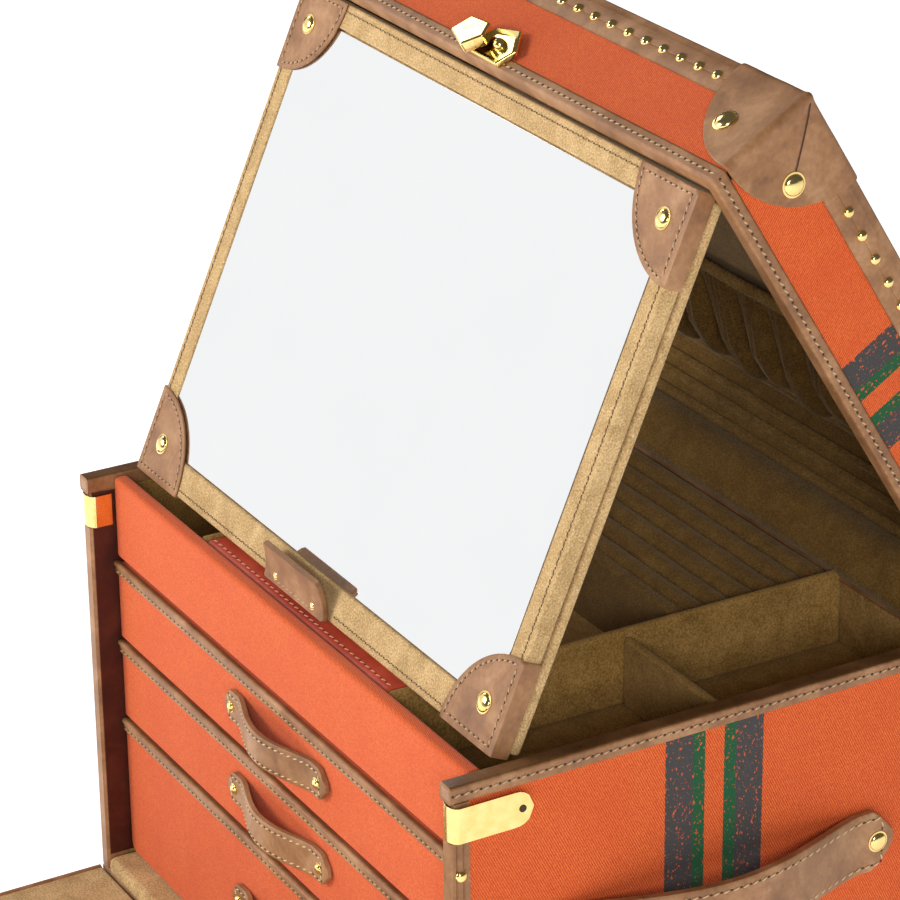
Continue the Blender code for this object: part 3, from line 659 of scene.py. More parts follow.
def back_and_base():
    bm = rounded_box((-ROOM_HALF, BACK - 6, FLOOR_TOP), (ROOM_HALF, BACK, RIM - RIM_BAND + 0.4), 0.5, 2)
    second_material(bm, TO_FRONT)
    piece("wall_back", bm, [CANVAS, SHADED], "case", "back_wall")
    piece("base_board", rounded_box((-HALF, FRONT, 0), (HALF, BACK, 10), 1.4, 4), LEATHER, "case",
          "base_panel")
    bed = rounded_box((-ROOM_HALF, FRONT - 0.5, 8.6), (ROOM_HALF, TRAY_BACK, 16.9), 3.2, 5)
    piece("base_bed", bed, SUEDE, "case")
    edge_stitches("base_stitches", "case", 6.6, HALF, (FRONT + 2, BACK - 2), HALF - 2, BACK, 4.4, 0.62)


def back_corner_binding(side, name):
    """Leather folded round an upright back corner."""
    reach, bend = 13.0, 2.0
    outer = side * (BODY_HALF + 0.5)
    line = [(side * (HALF - reach), BACK + 0.45), (outer - side * bend, BACK + 0.45)]
    line += arc((outer - side * bend, BACK + 0.45 - bend), bend, 90, 90 - side * 90, 5)[1:]
    line += [(outer, BACK - reach)]
    levels = (FLOOR_TOP + 0.1, 40.0, 80.0, 120.0, 160.0, RIM - 7.6)
    bm = skin(bmesh.new(), [[(x, y, z) for x, y in line] for z in levels])
    face_towards(bm, 0, TO_BACK)
    piece("back_corner_leather_" + name, bm, LEATHER, "case", thick=0.8)


def rim_binding():
    """The leather folded over the walls' top edges, with its pale cut ends at the front."""
    outer, inner, low = HALF + 0.2, INNER_HALF - 0.6, RIM - RIM_BAND
    middle, half_width = (outer + inner) / 2, (outer - inner) / 2
    front, back = FRONT - 0.3, BACK + 0.3
    path = [(-middle, front, low), (-middle, back - half_width, low), (middle, back - half_width, low),
            (middle, front, low)]
    bm = sweep(path, rounded_profile((-half_width, 0), (half_width, RIM_BAND), 1.5))
    # The binding's faces that look up take the darker hide: painted shade on its top.
    second_material(bm, UP, 0.75)
    piece("rim_leather", bm, [LEATHER, LEATHER_TOP_PAINTED_SHADE], "case", "case_rim_binding", smooth=60)
    edge_stitches("rim_stitches", "case", RIM - 3.5, outer, (FRONT + 0.6, BACK - 1), HALF - 2, back)
    bm = bmesh.new()
    for side, _ in SIDES:
        add_box(bm, (side * (INNER_HALF + 0.9), FRONT - 0.36, low + 1.5),
                (side * (HALF - 1.2), FRONT - 0.1, RIM - 1.5), 0.1, 2)
    piece("rim_leather_ends", bm, LEATHER_EDGE, "case")


def edge_leather(side, name):
    """The leather over a wall's front edge: flat in front, with a bead between two sunk lines outside."""
    outer, inner, top = HALF, INNER_HALF - 0.2, 176.6
    section = [(inner, 7.9), (inner, 1.2), (inner + 1.0, 0.1), (outer - 1.6, 0.1), (outer - 0.3, 0.6),
               (outer, 1.6), (outer - 0.5, 2.4), (outer + 0.35, 3.2), (outer + 0.35, 4.4),
               (outer - 0.5, 5.2),
               (outer, 5.9), (outer, 7.6), (outer - 0.5, 7.9)]
    levels = [10.4 + (top - 10.4) * i / 12 for i in range(13)]
    rows = [[(side * x, FRONT + depth, z) for x, depth in section] for z in levels]
    bm = skin(bmesh.new(), rows, around=True, capped=True)
    add_box(bm, (side * inner, FRONT + 1.4, top), (side * (outer - 0.2), FRONT + 7.9, RIM - RIM_BAND), 0.3,
            2)
    piece("edge_leather_" + name, bm, LEATHER, "case", "edge_binding_" + name, smooth=35)
    spots = [((side * (HALF + 0.2), FRONT + 3.8, RIM - drop), (side, 0, 0)) for drop in EDGE_STUD_DROPS]
    rivets("edge_studs_" + name, spots, "case", radius=2.4, height=1.5, collar=False)


def clip(side, name):
    """A bent brass strip round the wall's front edge. Its outer end is round and has a hole."""
    middle, radius = (CLIP_LOW + CLIP_HIGH) / 2, (CLIP_HIGH - CLIP_LOW) / 2
    outer, inner = HALF + 0.8, INNER_HALF - 1.0
    end = FRONT + CLIP_LENGTH
    wide = (outer - inner) / 2
    deep = wide * 0.62
    line = [(outer, end - (end - FRONT - deep) * i / 16) for i in range(16)]
    line += [((outer + inner) / 2 + wide * math.cos(a), FRONT + 0.3 + deep * (1 - math.sin(a)))
             for a in (math.pi * i / 12 for i in range(13))]
    line += [(inner, FRONT + deep + 2.0), (inner, FACE - 1.2)]
    rows = []
    run = 0.0
    for i, (x, y) in enumerate(line):
        run += math.dist(line[i], line[i - 1]) if i else 0.0
        half = math.sqrt(max(0.05, radius ** 2 - max(0.0, radius - run) ** 2))
        rows.append([(side * x, y, middle + half * k / 3) for k in range(-3, 4)])
    bm = skin(bmesh.new(), rows)
    face_towards(bm, 0, (side, 0, 0))
    piece("brass_clip_" + name, bm, BRASS, "case", "clip_" + name, thick=0.5, bevel=0.2)
    hole = bmesh.new()
    add_pin(hole, (side * (outer + 0.52), end - 4.6, middle), 1.5, 0.3)
    piece("clip_hole_" + name, hole, GROOVE, "case")


def add_pin(bm, centre, radius, length):
    """A plain round pin along X."""
    place = Matrix.Translation(centre) @ Matrix.Rotation(math.pi / 2, 4, "Y")
    bmesh.ops.create_cone(bm, cap_ends=True, segments=20, radius1=radius, radius2=radius, depth=length,
                          matrix=place)


# ---------------------------------------------------------------- straps
def strap_rise(kind, along):
    """How far a strap stands out at a distance from its middle."""
    reach = kind.length / 2 - kind.land
    if abs(along) >= reach:
        return 0.0
    return (kind.bow - kind.thickness) * math.cos(math.pi / 2 * along / reach) ** 1.25


def strap(kind, name, seam_name, place, body, replaces):
    """A leather strap with pointed ends that lies flat at both rivets and bows out between them.

    It is drawn along X, out along Z and wide along Y, then put where place says.
    """
    half = kind.length / 2
    steps = 64
    ring = rounded_profile((-0.5, 0), (0.5, 1), 0.18, 3)
    rows = []
    for i in range(steps + 1):
        along = -half + kind.length * i / steps
        narrow = min(1.0, 0.22 + 0.78 * (half - abs(along)) / kind.tip)
        slope = strap_rise(kind, along + 0.5) - strap_rise(kind, along - 0.5)
        lean = Vector((-slope, 0, 1)).normalized()
        fullness = 1.0 if 0 < i < steps else 0.5
        rows.append([Vector((along, a * kind.width * narrow, strap_rise(kind, along) + 0.1))
                     + lean * kind.thickness * (0.5 + (b - 0.5) * fullness) for a, b in ring])
    bm = skin(bmesh.new(), rows, around=True, capped=True)
    bmesh.ops.transform(bm, matrix=place, verts=bm.verts)
    piece(name, bm, LEATHER, body, replaces, smooth=50)
    strap_seams(kind, seam_name, place, body)


def strap_seams(kind, name, place, body):
    """A row of stitches along both edges of a strap, joined across behind each rivet."""
    seam = Seam()
    span = kind.length / 2 - kind.land * 0.35
    edge = kind.width / 2 - kind.inset
    top = kind.thickness + 0.1
    turn = place.to_3x3()

    def outward(along):
        return along.cross(turn @ Vector((0, 1, 0)))

    for side, _ in SIDES:
        spots = [-span + 2 * span * i / 60 for i in range(61)]
        seam.run([place @ Vector((x, side * edge, strap_rise(kind, x) + top)) for x in spots], outward,
                 kind.pitch)
    for end, _ in SIDES:
        seam.run([place @ Vector((end * span, y, top)) for y in (0.5 - edge, edge - 0.5)], turn @ UP,
                 kind.pitch)
    seam.finish(name, body, BRIGHT_THREAD)


def side_handle(side, name):
    place = Matrix.Translation((side * BODY_HALF, STRIPE_CENTRE, HANDLE_HEIGHT))
    place = place @ Matrix.Rotation(side * math.pi / 2, 4, "Y") @ Matrix.Rotation(math.pi / 2, 4, "Z")
    strap(HANDLE, "handle_" + name, "handle_stitches_" + name, place, "case", "side_handle_" + name)
    spots = [((side * (BODY_HALF + 4.1), end * 74 + STRIPE_CENTRE, HANDLE_HEIGHT), (side, 0, 0)) for end,
             _ in SIDES]
    rivets("handle_rivets_" + name, spots, "case", radius=4.4)


# ---------------------------------------------------------------- tray
def tray():
    board = rounded_box((-ROOM_HALF, FACE, 161.2), (ROOM_HALF, FACE + 6.8, 198.9), 2.2, 5)
    piece("fascia_board", board, CANVAS, "case", "fascia")
    floor = rounded_box((-ROOM_HALF, TRAY_FRONT, TRAY_TOP - 4), (ROOM_HALF, TRAY_BACK, TRAY_TOP), 0.4, 2)
    piece("tray_bottom", floor, SHADED, "case", "tray_floor")
    for side, name in SIDES:
        board = rounded_box((side * 78.1, TRAY_FRONT, TRAY_TOP), (side * 81.9, TRAY_BACK, DIVIDER_TOP), 1.7,
                            4)
        piece("long_divider_" + name, board, SHADED, "case", "divider_" + name)
    board = rounded_box((82.0, 5.0, TRAY_TOP), (ROOM_HALF, 8.8, 195), 1.7, 4)
    piece("short_divider", board, SHADED, "case", "cross_divider")
    pad_top = 197.4
    pad = rounded_box((-77.8, TRAY_FRONT, TRAY_TOP + 0.3), (77.8, TRAY_FRONT + 24, pad_top), 2.6, 5)
    piece("ledge_pad", pad, RED, "case", "front_pad")
    line = [(x, TRAY_FRONT + 3.4, pad_top) for x in (-76, 76)]
    Seam().run(line, UP, 4.2).finish("ledge_stitches", "case", RED_THREAD)
    ring_rolls()
    for number in (1, 2):
        low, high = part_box("drawer_shelf_%d" % number)
        shelf = rounded_box(low / MM, high / MM, 0.4, 2)
        piece("shelf_%d" % number, shelf, SUEDE, "case", "drawer_shelf_%d" % number)


def ring_rolls():
    """Six soft rolls side by side with a slit between each pair, behind a flat border."""
    border, room, roof, columns = 7.0, 77.4, 195.6, 34
    start, base = FRONT + 148.0, TRAY_TOP + 0.3
    slit = roof - 8.6
    pitch = (TRAY_BACK - start - border) / ROLLS
    profile = [(start + 0.1, base), (start + 0.1, roof - 1.4), (start + 0.6, roof - 0.4),
               (start + 1.6, roof)]
    profile += [(start + border - 1.4, roof), (start + border - 0.4, roof - 1.0), (start + border, slit)]
    for roll in range(ROLLS):
        first = start + border + roll * pitch
        for angle in (math.pi * i / 10 for i in range(11)):
            across = pitch / 2 * (1 - math.cos(angle)) * 0.985
            profile.append((first + across + 0.1, slit + 8.2 * math.sin(angle) ** 0.62))
    profile += [(TRAY_BACK - 0.1, base)]
    rows = []
    for c in range(columns + 1):
        x = -room + 2 * room * c / columns
        drop = 0.0 if 0 < c < columns else 0.9
        row = []
        for y, z in profile:
            wobble = 0.55 * noise.noise(Vector((x * 0.045, y * 0.21, 3.0))) if z > roof - 8 else 0.0
            row.append((x, y, z + wobble - (drop if z > roof - 9 else 0)))
        rows.append(row)
    bm = skin(bmesh.new(), rows, around=True, capped=True)
    piece("ring_rolls", bm, OLIVE, "case", "ring_roll_cushion", smooth=70)


# ---------------------------------------------------------------- drawers
def drawer(number, bottom, top, corner):
    body = "drawer_%d" % number
    half = ROOM_HALF - 0.3
    board = rounded_box((-half, FACE, bottom), (half, FACE + 7, top - 1.0), 1.1, 4)
    if corner:
        round_lower_corners(board, half, bottom, corner)
    piece(body + "_front", board, CANVAS, body)
    drawer_tray(body, half - 2.0, bottom, top - 5)
    welt(body, half, top)
    height = (top + bottom) / 2
    place = Matrix.Translation((0, FACE, height)) @ Matrix.Rotation(math.pi / 2, 4, "X")
    strap(PULL, body + "_handle", body + "_handle_stitches", place, body, body + "_pull")
    spots = [((end * 37.3, FACE - 2.9, height), TO_FRONT) for end, _ in SIDES]
    rivets(body + "_rivets", spots, body, radius=2.5, height=1.5)


def drawer_tray(body, half, bottom, rim):
    """The open suede box behind a drawer's front."""
    bm = bmesh.new()
    add_box(bm, (-half, FACE + 6, bottom), (half, BACK - 8, rim))
    top = max(bm.faces, key=lambda face: face.calc_center_median().z)
    bmesh.ops.inset_individual(bm, faces=[top], thickness=4.0, use_even_offset=True)
    well = bmesh.ops.extrude_discrete_faces(bm, faces=[top])["faces"][0]
    bmesh.ops.translate(bm, verts=well.verts, vec=(0, 0, bottom + 3 - rim))
    piece(body + "_tray", bm, SUEDE, body, body + "_box", bevel=0.8)


def round_lower_corners(bm, half, bottom, radius):
    """Moves what lies in a board's lower corners onto an arc."""
    cuts = [((0, 0, bottom + radius), UP)]
    cuts += [((side * (half - radius * step / 6), 0, 0), (1, 0, 0)) for step in range(1, 6) for side,
             _ in SIDES]
    for place, normal in cuts:
        bmesh.ops.bisect_plane(bm, geom=bm.verts[:] + bm.edges[:] + bm.faces[:], plane_co=place,
                               plane_no=normal)
    inside = half - radius
    for vert in bm.verts:
        over = (abs(vert.co.x) - inside) / radius
        down = (bottom + radius - vert.co.z) / radius
        if over > 0 and down > 0:
            shrink = max(over, down) / math.hypot(over, down)
            vert.co.x = math.copysign(inside + radius * over * shrink, vert.co.x)
            vert.co.z = bottom + radius - radius * down * shrink


def welt(body, half, top):
    """A rolled leather lip along a drawer's top edge, over a flat stitched band."""
    profile = [(1.4, -6.1), (-0.5, -6.1), (-0.9, -5.8), (-0.9, -2.9), (-0.7, -2.7)]
    profile += arc((-0.35, -1.45), 1.3, 235, 59, 8) + [(1.4, -0.6)]
    bm = sweep([(-half, FACE, top), (half, FACE, top)], [(-a, b) for a, b in profile])
    piece(body + "_welt_leather", bm, LEATHER, body, body + "_welt", smooth=50)
    line = [(end * (half - 1), FACE - 0.92, top - 4.4) for end, _ in SIDES]
    Seam().run(line, TO_FRONT, 3.6).finish(body + "_welt_stitches", body)


# ---------------------------------------------------------------- lid
def lid_boards():
    """The canvas-covered boards: a top, a front, two sides and a back."""
    low, top, front = LID_RIM_TOP - 2, LID_TOP - 1, LID_FRONT + 0.8
    boards = [
        ("lid_top_board", (-BODY_HALF, front, LID_TOP - 4), (BODY_HALF, BACK, LID_TOP - 0.2), 1.8, 4,
         CANVAS, "lid_top"),
        ("lid_front_board", (-BODY_HALF, front, low), (BODY_HALF, front + 5.4, top), 0.8, 2, CANVAS,
         "lid_front_wall"),
        ("lid_back_board", (-BODY_HALF, BACK - 6, low), (BODY_HALF, BACK, top), 0.8, 2, CANVAS,
         "lid_back_wall"),
    ]
    for side, name in SIDES:
        near, far = (side * INNER_HALF, front + 0.3, low), (side * BODY_HALF, BACK - 0.3, top)
        boards.append(("lid_side_board_" + name, near, far, 0.8, 2, STRIPED, "lid_%s_wall" % name))
    for name, corner, opposite, round_by, segments, material, node in boards:
        piece(name, rounded_box(corner, opposite, round_by, segments), material, "lid", node)


def lid_rim():
    """The leather folded over the lid's lower edge, stitched outside."""
    width, height, low = 7.8, 6.9, RIM + 0.3
    x = HALF + 0.1 - width / 2
    front, back = LID_FRONT - 0.1, BACK + 0.1
    near, far = front + width / 2, back - width / 2
    path = [(-x, far, low), (-x, near, low), (x, near, low), (x, far, low)]
    bm = sweep(path, rounded_profile((-width / 2, 0), (width / 2, height), 1.5), closed=True)
    piece("lid_rim_leather", bm, LEATHER, "lid", "lid_rim_binding", smooth=60)
    edge_stitches("lid_rim_stitches", "lid", RIM + 3.4, HALF + 0.1, (LID_FRONT + 1.5, BACK - 1), HALF - 1.5,
                  front)


def gusset():
    """The soft suede strip behind the tray that joins the lid's lining to the case, bent to the lid's open
    angle and fixed there.
    """
    inner = BACK - 8.4
    case_end, case_turn = Vector((0, inner, RIM - 3.2)), Vector((0, inner, RIM + 0.4))
    lid_turn, lid_end = (LID_PLACE @ (Vector((0, inner, z)) * MM) / MM
                         for z in (RIM + 1.0, LID_RIM_TOP + 5.0))
    line = [case_end, case_turn] + [case_turn.lerp(lid_turn, i / 8) for i in range(1, 8)] + [lid_turn,
                                                                                             lid_end]
    across = [-ROOM_HALF + 0.6 + (2 * ROOM_HALF - 1.2) * i / 8 for i in range(9)]
    bm = skin(bmesh.new(), [[(x, spot.y, spot.z) for x in across] for spot in line], recalc=False)
    obj = piece("back_gusset", bm, OLIVE, None, smooth=180, thick=0.8)
    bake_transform(obj)


def band_line():
    """The way up a stud band and over onto the lid's top, as (distance, height above the board) pairs."""
    flat, raised, groove = 0.8, 1.35, 1.0
    rise, tall = BAND_STUD_Z - BAND_LOW, LID_TOP - BAND_LOW
    low, high = rise + BAND_RAISED[0], rise + BAND_RAISED[1]
    line = [(0.0, 0.0), (0.05, flat), (low - 0.5, flat), (low, raised), (rise - 0.5, raised),
            (rise, groove)]
    line += [(rise + 0.5, raised), (high, raised), (high + 0.5, flat)]
    line += [(tall + EDGE_ROUND * k / 4, flat) for k in (-3, -2, -1, 0, 1, 2, 3, 4)]
    return line + [(tall + BAND_FOLD - 0.05, flat), (tall + BAND_FOLD, 0.0)]


def band(name, start, end, outward, node=None):
    """A leather band along the lid's upper edge, folded onto the top, with a studded raised strip."""
    start, end, outward = Vector(start), Vector(end), Vector(outward)
    tall = LID_TOP - BAND_LOW
    line = band_line()
    rows = []
    for i in range(25):
        foot = start.lerp(end, i / 24)
        rows.append([foot + UP * min(way, tall) - outward * max(0.0, way - tall) for way, _ in line])
    bm = skin(bmesh.new(), rows, recalc=False)
    soften(bm, LID_LOW, LID_HIGH, EDGE_ROUND)
    for i, vert in enumerate(bm.verts):
        way, out = line[i % len(line)]
        lift = outward if way <= tall else UP
        if LID_TOP - EDGE_ROUND < vert.co.z < LID_TOP - 0.01 and i % len(line) > 8:
            lift = (outward + UP).normalized()
        vert.co += lift * (out - 0.4)
    bmesh.ops.recalc_face_normals(bm, faces=bm.faces)
    face_towards(bm, 1, outward)
    piece(name, bm, LEATHER, "lid", node, smooth=50)
    length = (end - start).length
    count = round((length - 8) / BAND_STUD_PITCH)
    spots = []
    for i in range(count):
        spot = start.lerp(end, 0.5 + (i - (count - 1) / 2) * BAND_STUD_PITCH / length) + outward * 0.7
        spots.append(((spot.x, spot.y, BAND_STUD_Z), outward))
    rivets(name + "_studs", spots, "lid", radius=2.35, height=1.9, collar=False)


def lid_bands():
    under_cap = CAP_RADIUS - 4
    x, front, back = HALF - under_cap, LID_FRONT + under_cap, BACK - under_cap
    band("front_band", (-x, LID_FRONT, BAND_LOW), (x, LID_FRONT, BAND_LOW), TO_FRONT, "stud_band_front")
    band("back_band", (x, BACK, BAND_LOW), (-x, BACK, BAND_LOW), TO_BACK)
    for side, name in SIDES:
        ends = ((side * HALF, y, BAND_LOW) for y in (front, back))
        band("side_band_" + name, *ends, (side, 0, 0), "stud_band_" + name)


def fan(bm, corner, across, along, radii, turns):
    """A quarter round between two directions from a corner. Turns are in degrees."""
    angles = [math.radians(a) for a in turns]
    rows = [[corner + across * radius * math.cos(a) + along * radius * math.sin(a) for a in angles]
            for radius in radii]
    skin(bm, rows, recalc=False)


def cap(side, end, name):
    """A leather corner: quarter rounds on the lid's top, side and end that meet over the rounded corner."""
    corner = Vector((side * HALF, LID_FRONT if end < 0 else BACK, LID_TOP))
    inward = (Vector((-side, 0, 0)), Vector((0, -end, 0)), -UP)
    radii = [CAP_RADIUS * r for r in (0.0, 0.02, 0.045, 0.09, 0.16, 0.27, 0.4, 0.55, 0.7, 0.85, 0.95, 0.985,
                                      1.0)]
    turns = [0, 1.2, 2.6, 5, 9, 15, 24, 34, 45, 56, 66, 75, 81, 85, 87.4, 88.8, 90]
    bm = bmesh.new()
    for first, second in ((0, 1), (1, 2), (2, 0)):
        fan(bm, corner, inward[first], inward[second], radii, turns)
    soften(bm, LID_LOW, LID_HIGH, EDGE_ROUND)
    bmesh.ops.remove_doubles(bm, verts=bm.verts, dist=0.02)
    bmesh.ops.dissolve_degenerate(bm, dist=0.01, edges=bm.edges)
    bmesh.ops.recalc_face_normals(bm, faces=bm.faces)
    bm.faces.ensure_lookup_table()
    probe = len(bm.faces) // 2
    face_towards(bm, probe, bm.faces[probe].calc_center_median() - (corner + sum(inward, Vector()) * 20))
    for vert in bm.verts:
        upright = math.hypot(vert.co.x - corner.x, vert.co.y - corner.y)
        ridge = math.exp(-(upright / 1.7) ** 2)
        vert.co += vert.normal * (0.25 + ridge + 0.2 * noise.noise(vert.co * 0.07))
    piece("cap_" + name, bm, LEATHER, "lid", "corner_cap_" + name, thick=1.0, smooth=70)
    out = 1.4
    spots = [((side * (HALF + out), corner.y - end * 23.6, LID_TOP - 22.3), (side, 0, 0)),
             ((corner.x - side * 20.5, corner.y + end * out, LID_TOP - 24.4), (0, end, 0))]
    rivets("cap_rivets_" + name, spots, "lid", radius=4.9, height=2.2)
    x = side * (HALF + out + 0.05)
    line = [(x, corner.y - end * (0.8 + 22.8 * t), LID_TOP - 0.8 - 22.2 * t ** 1.1)
            for t in (0, .2, .4, .6, .8, 1)]
    Seam().channel(line, (side, 0, 0), 0.7).finish("cap_joint_" + name, "lid")


def lid_inside():
    """Suede on the boards' inner faces, with the pocket and the ribs near the hinge."""
    skin_deep = 1.0
    low, high = LID_RIM_TOP + 0.6, LID_TOP - 4.3
    front, back, roof = LID_FRONT + 6.7, BACK - 6.3, high - skin_deep
    bm = bmesh.new()
    add_box(bm, (-ROOM_HALF, front, roof), (ROOM_HALF, back, high), 0.3, 2)
    add_box(bm, (-ROOM_HALF, front, low), (ROOM_HALF, front + skin_deep, roof), 0.3, 2)
    add_box(bm, (-ROOM_HALF, back - skin_deep, low), (ROOM_HALF, back, roof), 0.3, 2)
    for side, _ in SIDES:
        add_box(bm, (side * ROOM_HALF, front, low), (side * (ROOM_HALF - skin_deep), back, roof), 0.3, 2)
    piece("lining", bm, OLIVE, "lid", "lid_lining")
    pocket(roof)
    hem(roof)
    ribs = bmesh.new()
    face, reach = back - skin_deep, ROOM_HALF - 1.2
    for y in (face - 5.0, face - 0.2):
        add_box(ribs, (-reach, y - 3.4, roof - 1.9), (reach, y, roof + 0.2), 0.9, 3)
    for z in (roof - 9.0, roof - 17.0, roof - 25.0):
        add_box(ribs, (-reach, face - 1.9, z - 3.6), (reach, face + 0.2, z), 0.9, 3)
    piece("lining_ribs", ribs, OLIVE, "lid")


def pocket_lobes(rng):
    """The pocket's full, drooping folds as (left end, right end, reach from the mouth)."""
    lobes, place = [], -POCKET_HALF
    while place < POCKET_HALF - 14:
        wide = rng.uniform(21, 30)
        lobes.append((place, place + wide, rng.uniform(0.80, 1.0)))
        place += wide
    left, right, reach = lobes[-1]
    lobes[-1] = (left, POCKET_HALF, reach)
    return lobes


def pocket_point(x, t, lobes):
    """A point of the pocket as (across, down, out from the lining), at t from its mouth to its bottom."""
    left, right, reach = next(lobe for lobe in lobes if x <= lobe[1] + 1e-6)
    across = min(1.0, max(0.0, (x - left) / (right - left)))
    full = math.sin(math.pi * across ** 1.35) ** 0.7 if 0 < across < 1 else 0.0
    swell = min(1.0, t / 0.55) ** 0.7
    round_end = math.sqrt(max(0.0, 1 - max(0.0, (t - 0.74) / 0.26) ** 2))
    pleats = 1.1 * (1 - t) ** 1.5 * math.sin(x * 1.7 + 2.5 * noise.noise(Vector((x * 0.15, 0, 4))))
    belly = (0.32 + 0.68 * swell) * (0.06 + 0.94 * full * (0.35 + 0.65 * swell))
    out = max(0.5, (POCKET_DEPTH * belly + pleats) * round_end)
    span = POCKET_BOTTOM - POCKET_MOUTH - HEM
    return x - 3.0 * math.sin(t * 2.2), span * reach * (0.60 + 0.40 * full) * t, out


def pocket(roof):
    """A gathered suede pocket under the lid's top, with full folds that droop from its elastic mouth."""
    lobes = pocket_lobes(random.Random(11))
    columns, lines = 300, 34
    rows = []
    for j in range(lines + 1):
        across = (-POCKET_HALF + 2 * POCKET_HALF * i / columns for i in range(columns + 1))
        spots = [pocket_point(x, j / lines, lobes) for x in across]
        rows.append([(x, POCKET_MOUTH + HEM + down, roof - out) for x, down, out in spots])
    bm = skin(bmesh.new(), rows)
    area = sum(face.calc_area() for face in bm.faces)
    # The pocket takes the darker suede copy: painted shade in its folds.
    obj = piece("elastic_pocket", bm, POCKET_SUEDE_PAINTED_SHADE, "lid", "lid_pocket", smooth=180)


def hem(roof):
    """The elastic edge: a flat band, puckered crosswise, that stands off the lining."""
    section = [(-0.4, -1.4), (0.0, 0.2), (1.2, 0.9), (3.4, 1.0), (5.6, 0.7), (HEM + 0.6, 0.0)]
    columns = 360
    rows = []
    for i in range(columns + 1):
        x = -POCKET_HALF + 2 * POCKET_HALF * i / columns
        pucker = 0.55 * math.sin(x * 2.1 + 3 * noise.noise(Vector((x * 0.12, 2, 0))))
        off = roof - 4.6 - 1.2 * noise.noise(Vector((x * 0.03, 7, 0)))
        rows.append([(x, POCKET_MOUTH + y, off - out - pucker * (0.4 + 0.2 * k)) for k,
                     (y, out) in enumerate(section)])
    piece("pocket_hem", skin(bmesh.new(), rows), OLIVE, "lid", smooth=180, thick=0.9)


def five_sided(points, near, far, round_by):
    """A flat brass plate from an outline in X and height over the rim, between two Y values."""
    bm = bmesh.new()
    face = bm.faces.new([bm.verts.new((x, near, RIM + z)) for x, z in points])
    moved = bmesh.ops.extrude_face_region(bm, geom=[face])["geom"]
    verts = [part for part in moved if isinstance(part, bmesh.types.BMVert)]
    bmesh.ops.translate(bm, verts=verts, vec=(0, far - near, 0))
    bmesh.ops.recalc_face_normals(bm, faces=bm.faces)
    bmesh.ops.bevel(bm, geom=bm.edges[:], offset=round_by, segments=3, profile=0.5, affect="EDGES",
                    clamp_overlap=True)
    return bm


def latch():
    """A dished five-sided plate with a knob, and the hook that hangs from it."""
    face = LID_FRONT - 0.3
    plate = five_sided([(-9.5, 1.0), (11.6, 0.6), (15.0, 9.5), (6.0, 18.4), (-7.5, 15.0)], face, face - 2.6,
                       0.7)
    outer = min(plate.faces, key=lambda f: f.calc_center_median().y)
    bmesh.ops.inset_individual(plate, faces=[outer], thickness=2.4)
    bmesh.ops.translate(plate, verts=outer.verts, vec=(0, 1.2, 0))
    piece("clasp_plate", plate, BRASS, "lid", "latch_plate", smooth=30)
    knob = bmesh.new()
    add_rivet(knob, (3.0, face - 1.0, RIM + 9), TO_FRONT, 3.2, 4.0)
    piece("clasp_knob", knob, BRASS, "lid")
    outline = [(-20.5, 2.6), (-7.0, -1.6), (-0.8, 6.2), (-4.6, 12.8), (-17.0, 12.2)]
    hook = five_sided(outline, face - 2.7, face - 8.2, 1.0)
    piece("clasp_hook", hook, BRASS, "latch", "latch_hook", smooth=30)


def hinge_half(names, body, node, span, heights, depths, knuckles, screw_height):
    """Half a butt hinge: a flat leaf, its share of the knuckles and three screws."""
    left, wide = span[0], span[1] - span[0]
    leaf = rounded_box((left, BACK + depths[0], heights[0]), (span[1], BACK + depths[1], heights[1]), 0.3,
                       2)
    length = wide / KNUCKLES - 0.3
    for knuckle in knuckles:
        add_pin(leaf, (left + wide * knuckle / KNUCKLES + length / 2, HINGE_PIN_Y, RIM), 2.1, length)
    piece(names[0], leaf, BRASS, body, node)
    screws = [((left + wide * share, BACK + depths[1], screw_height), TO_BACK) for share in (0.2, 0.5, 0.8)]
    rivets(names[1], screws, body, radius=1.9, height=0.8)


def hinges():
    for side, name in SIDES:
        low, high = (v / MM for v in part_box("hinge_" + name))
        span = (low.x, high.x)
        hinge_half(("hinge_lower_" + name, "hinge_screws_" + name), "case", "hinge_" + name, span,
                   (low.z, RIM - 0.6), (0.6, 1.5), (0, 2, 4), RIM - 14)
        hinge_half(("hinge_upper_" + name, "hinge_upper_screws_" + name), "lid", "lid_hinge_leaf_" + name,
                   span,
                   (RIM + 3.0, RIM + 26), (0.3, 1.2), (1, 3), RIM + 17)


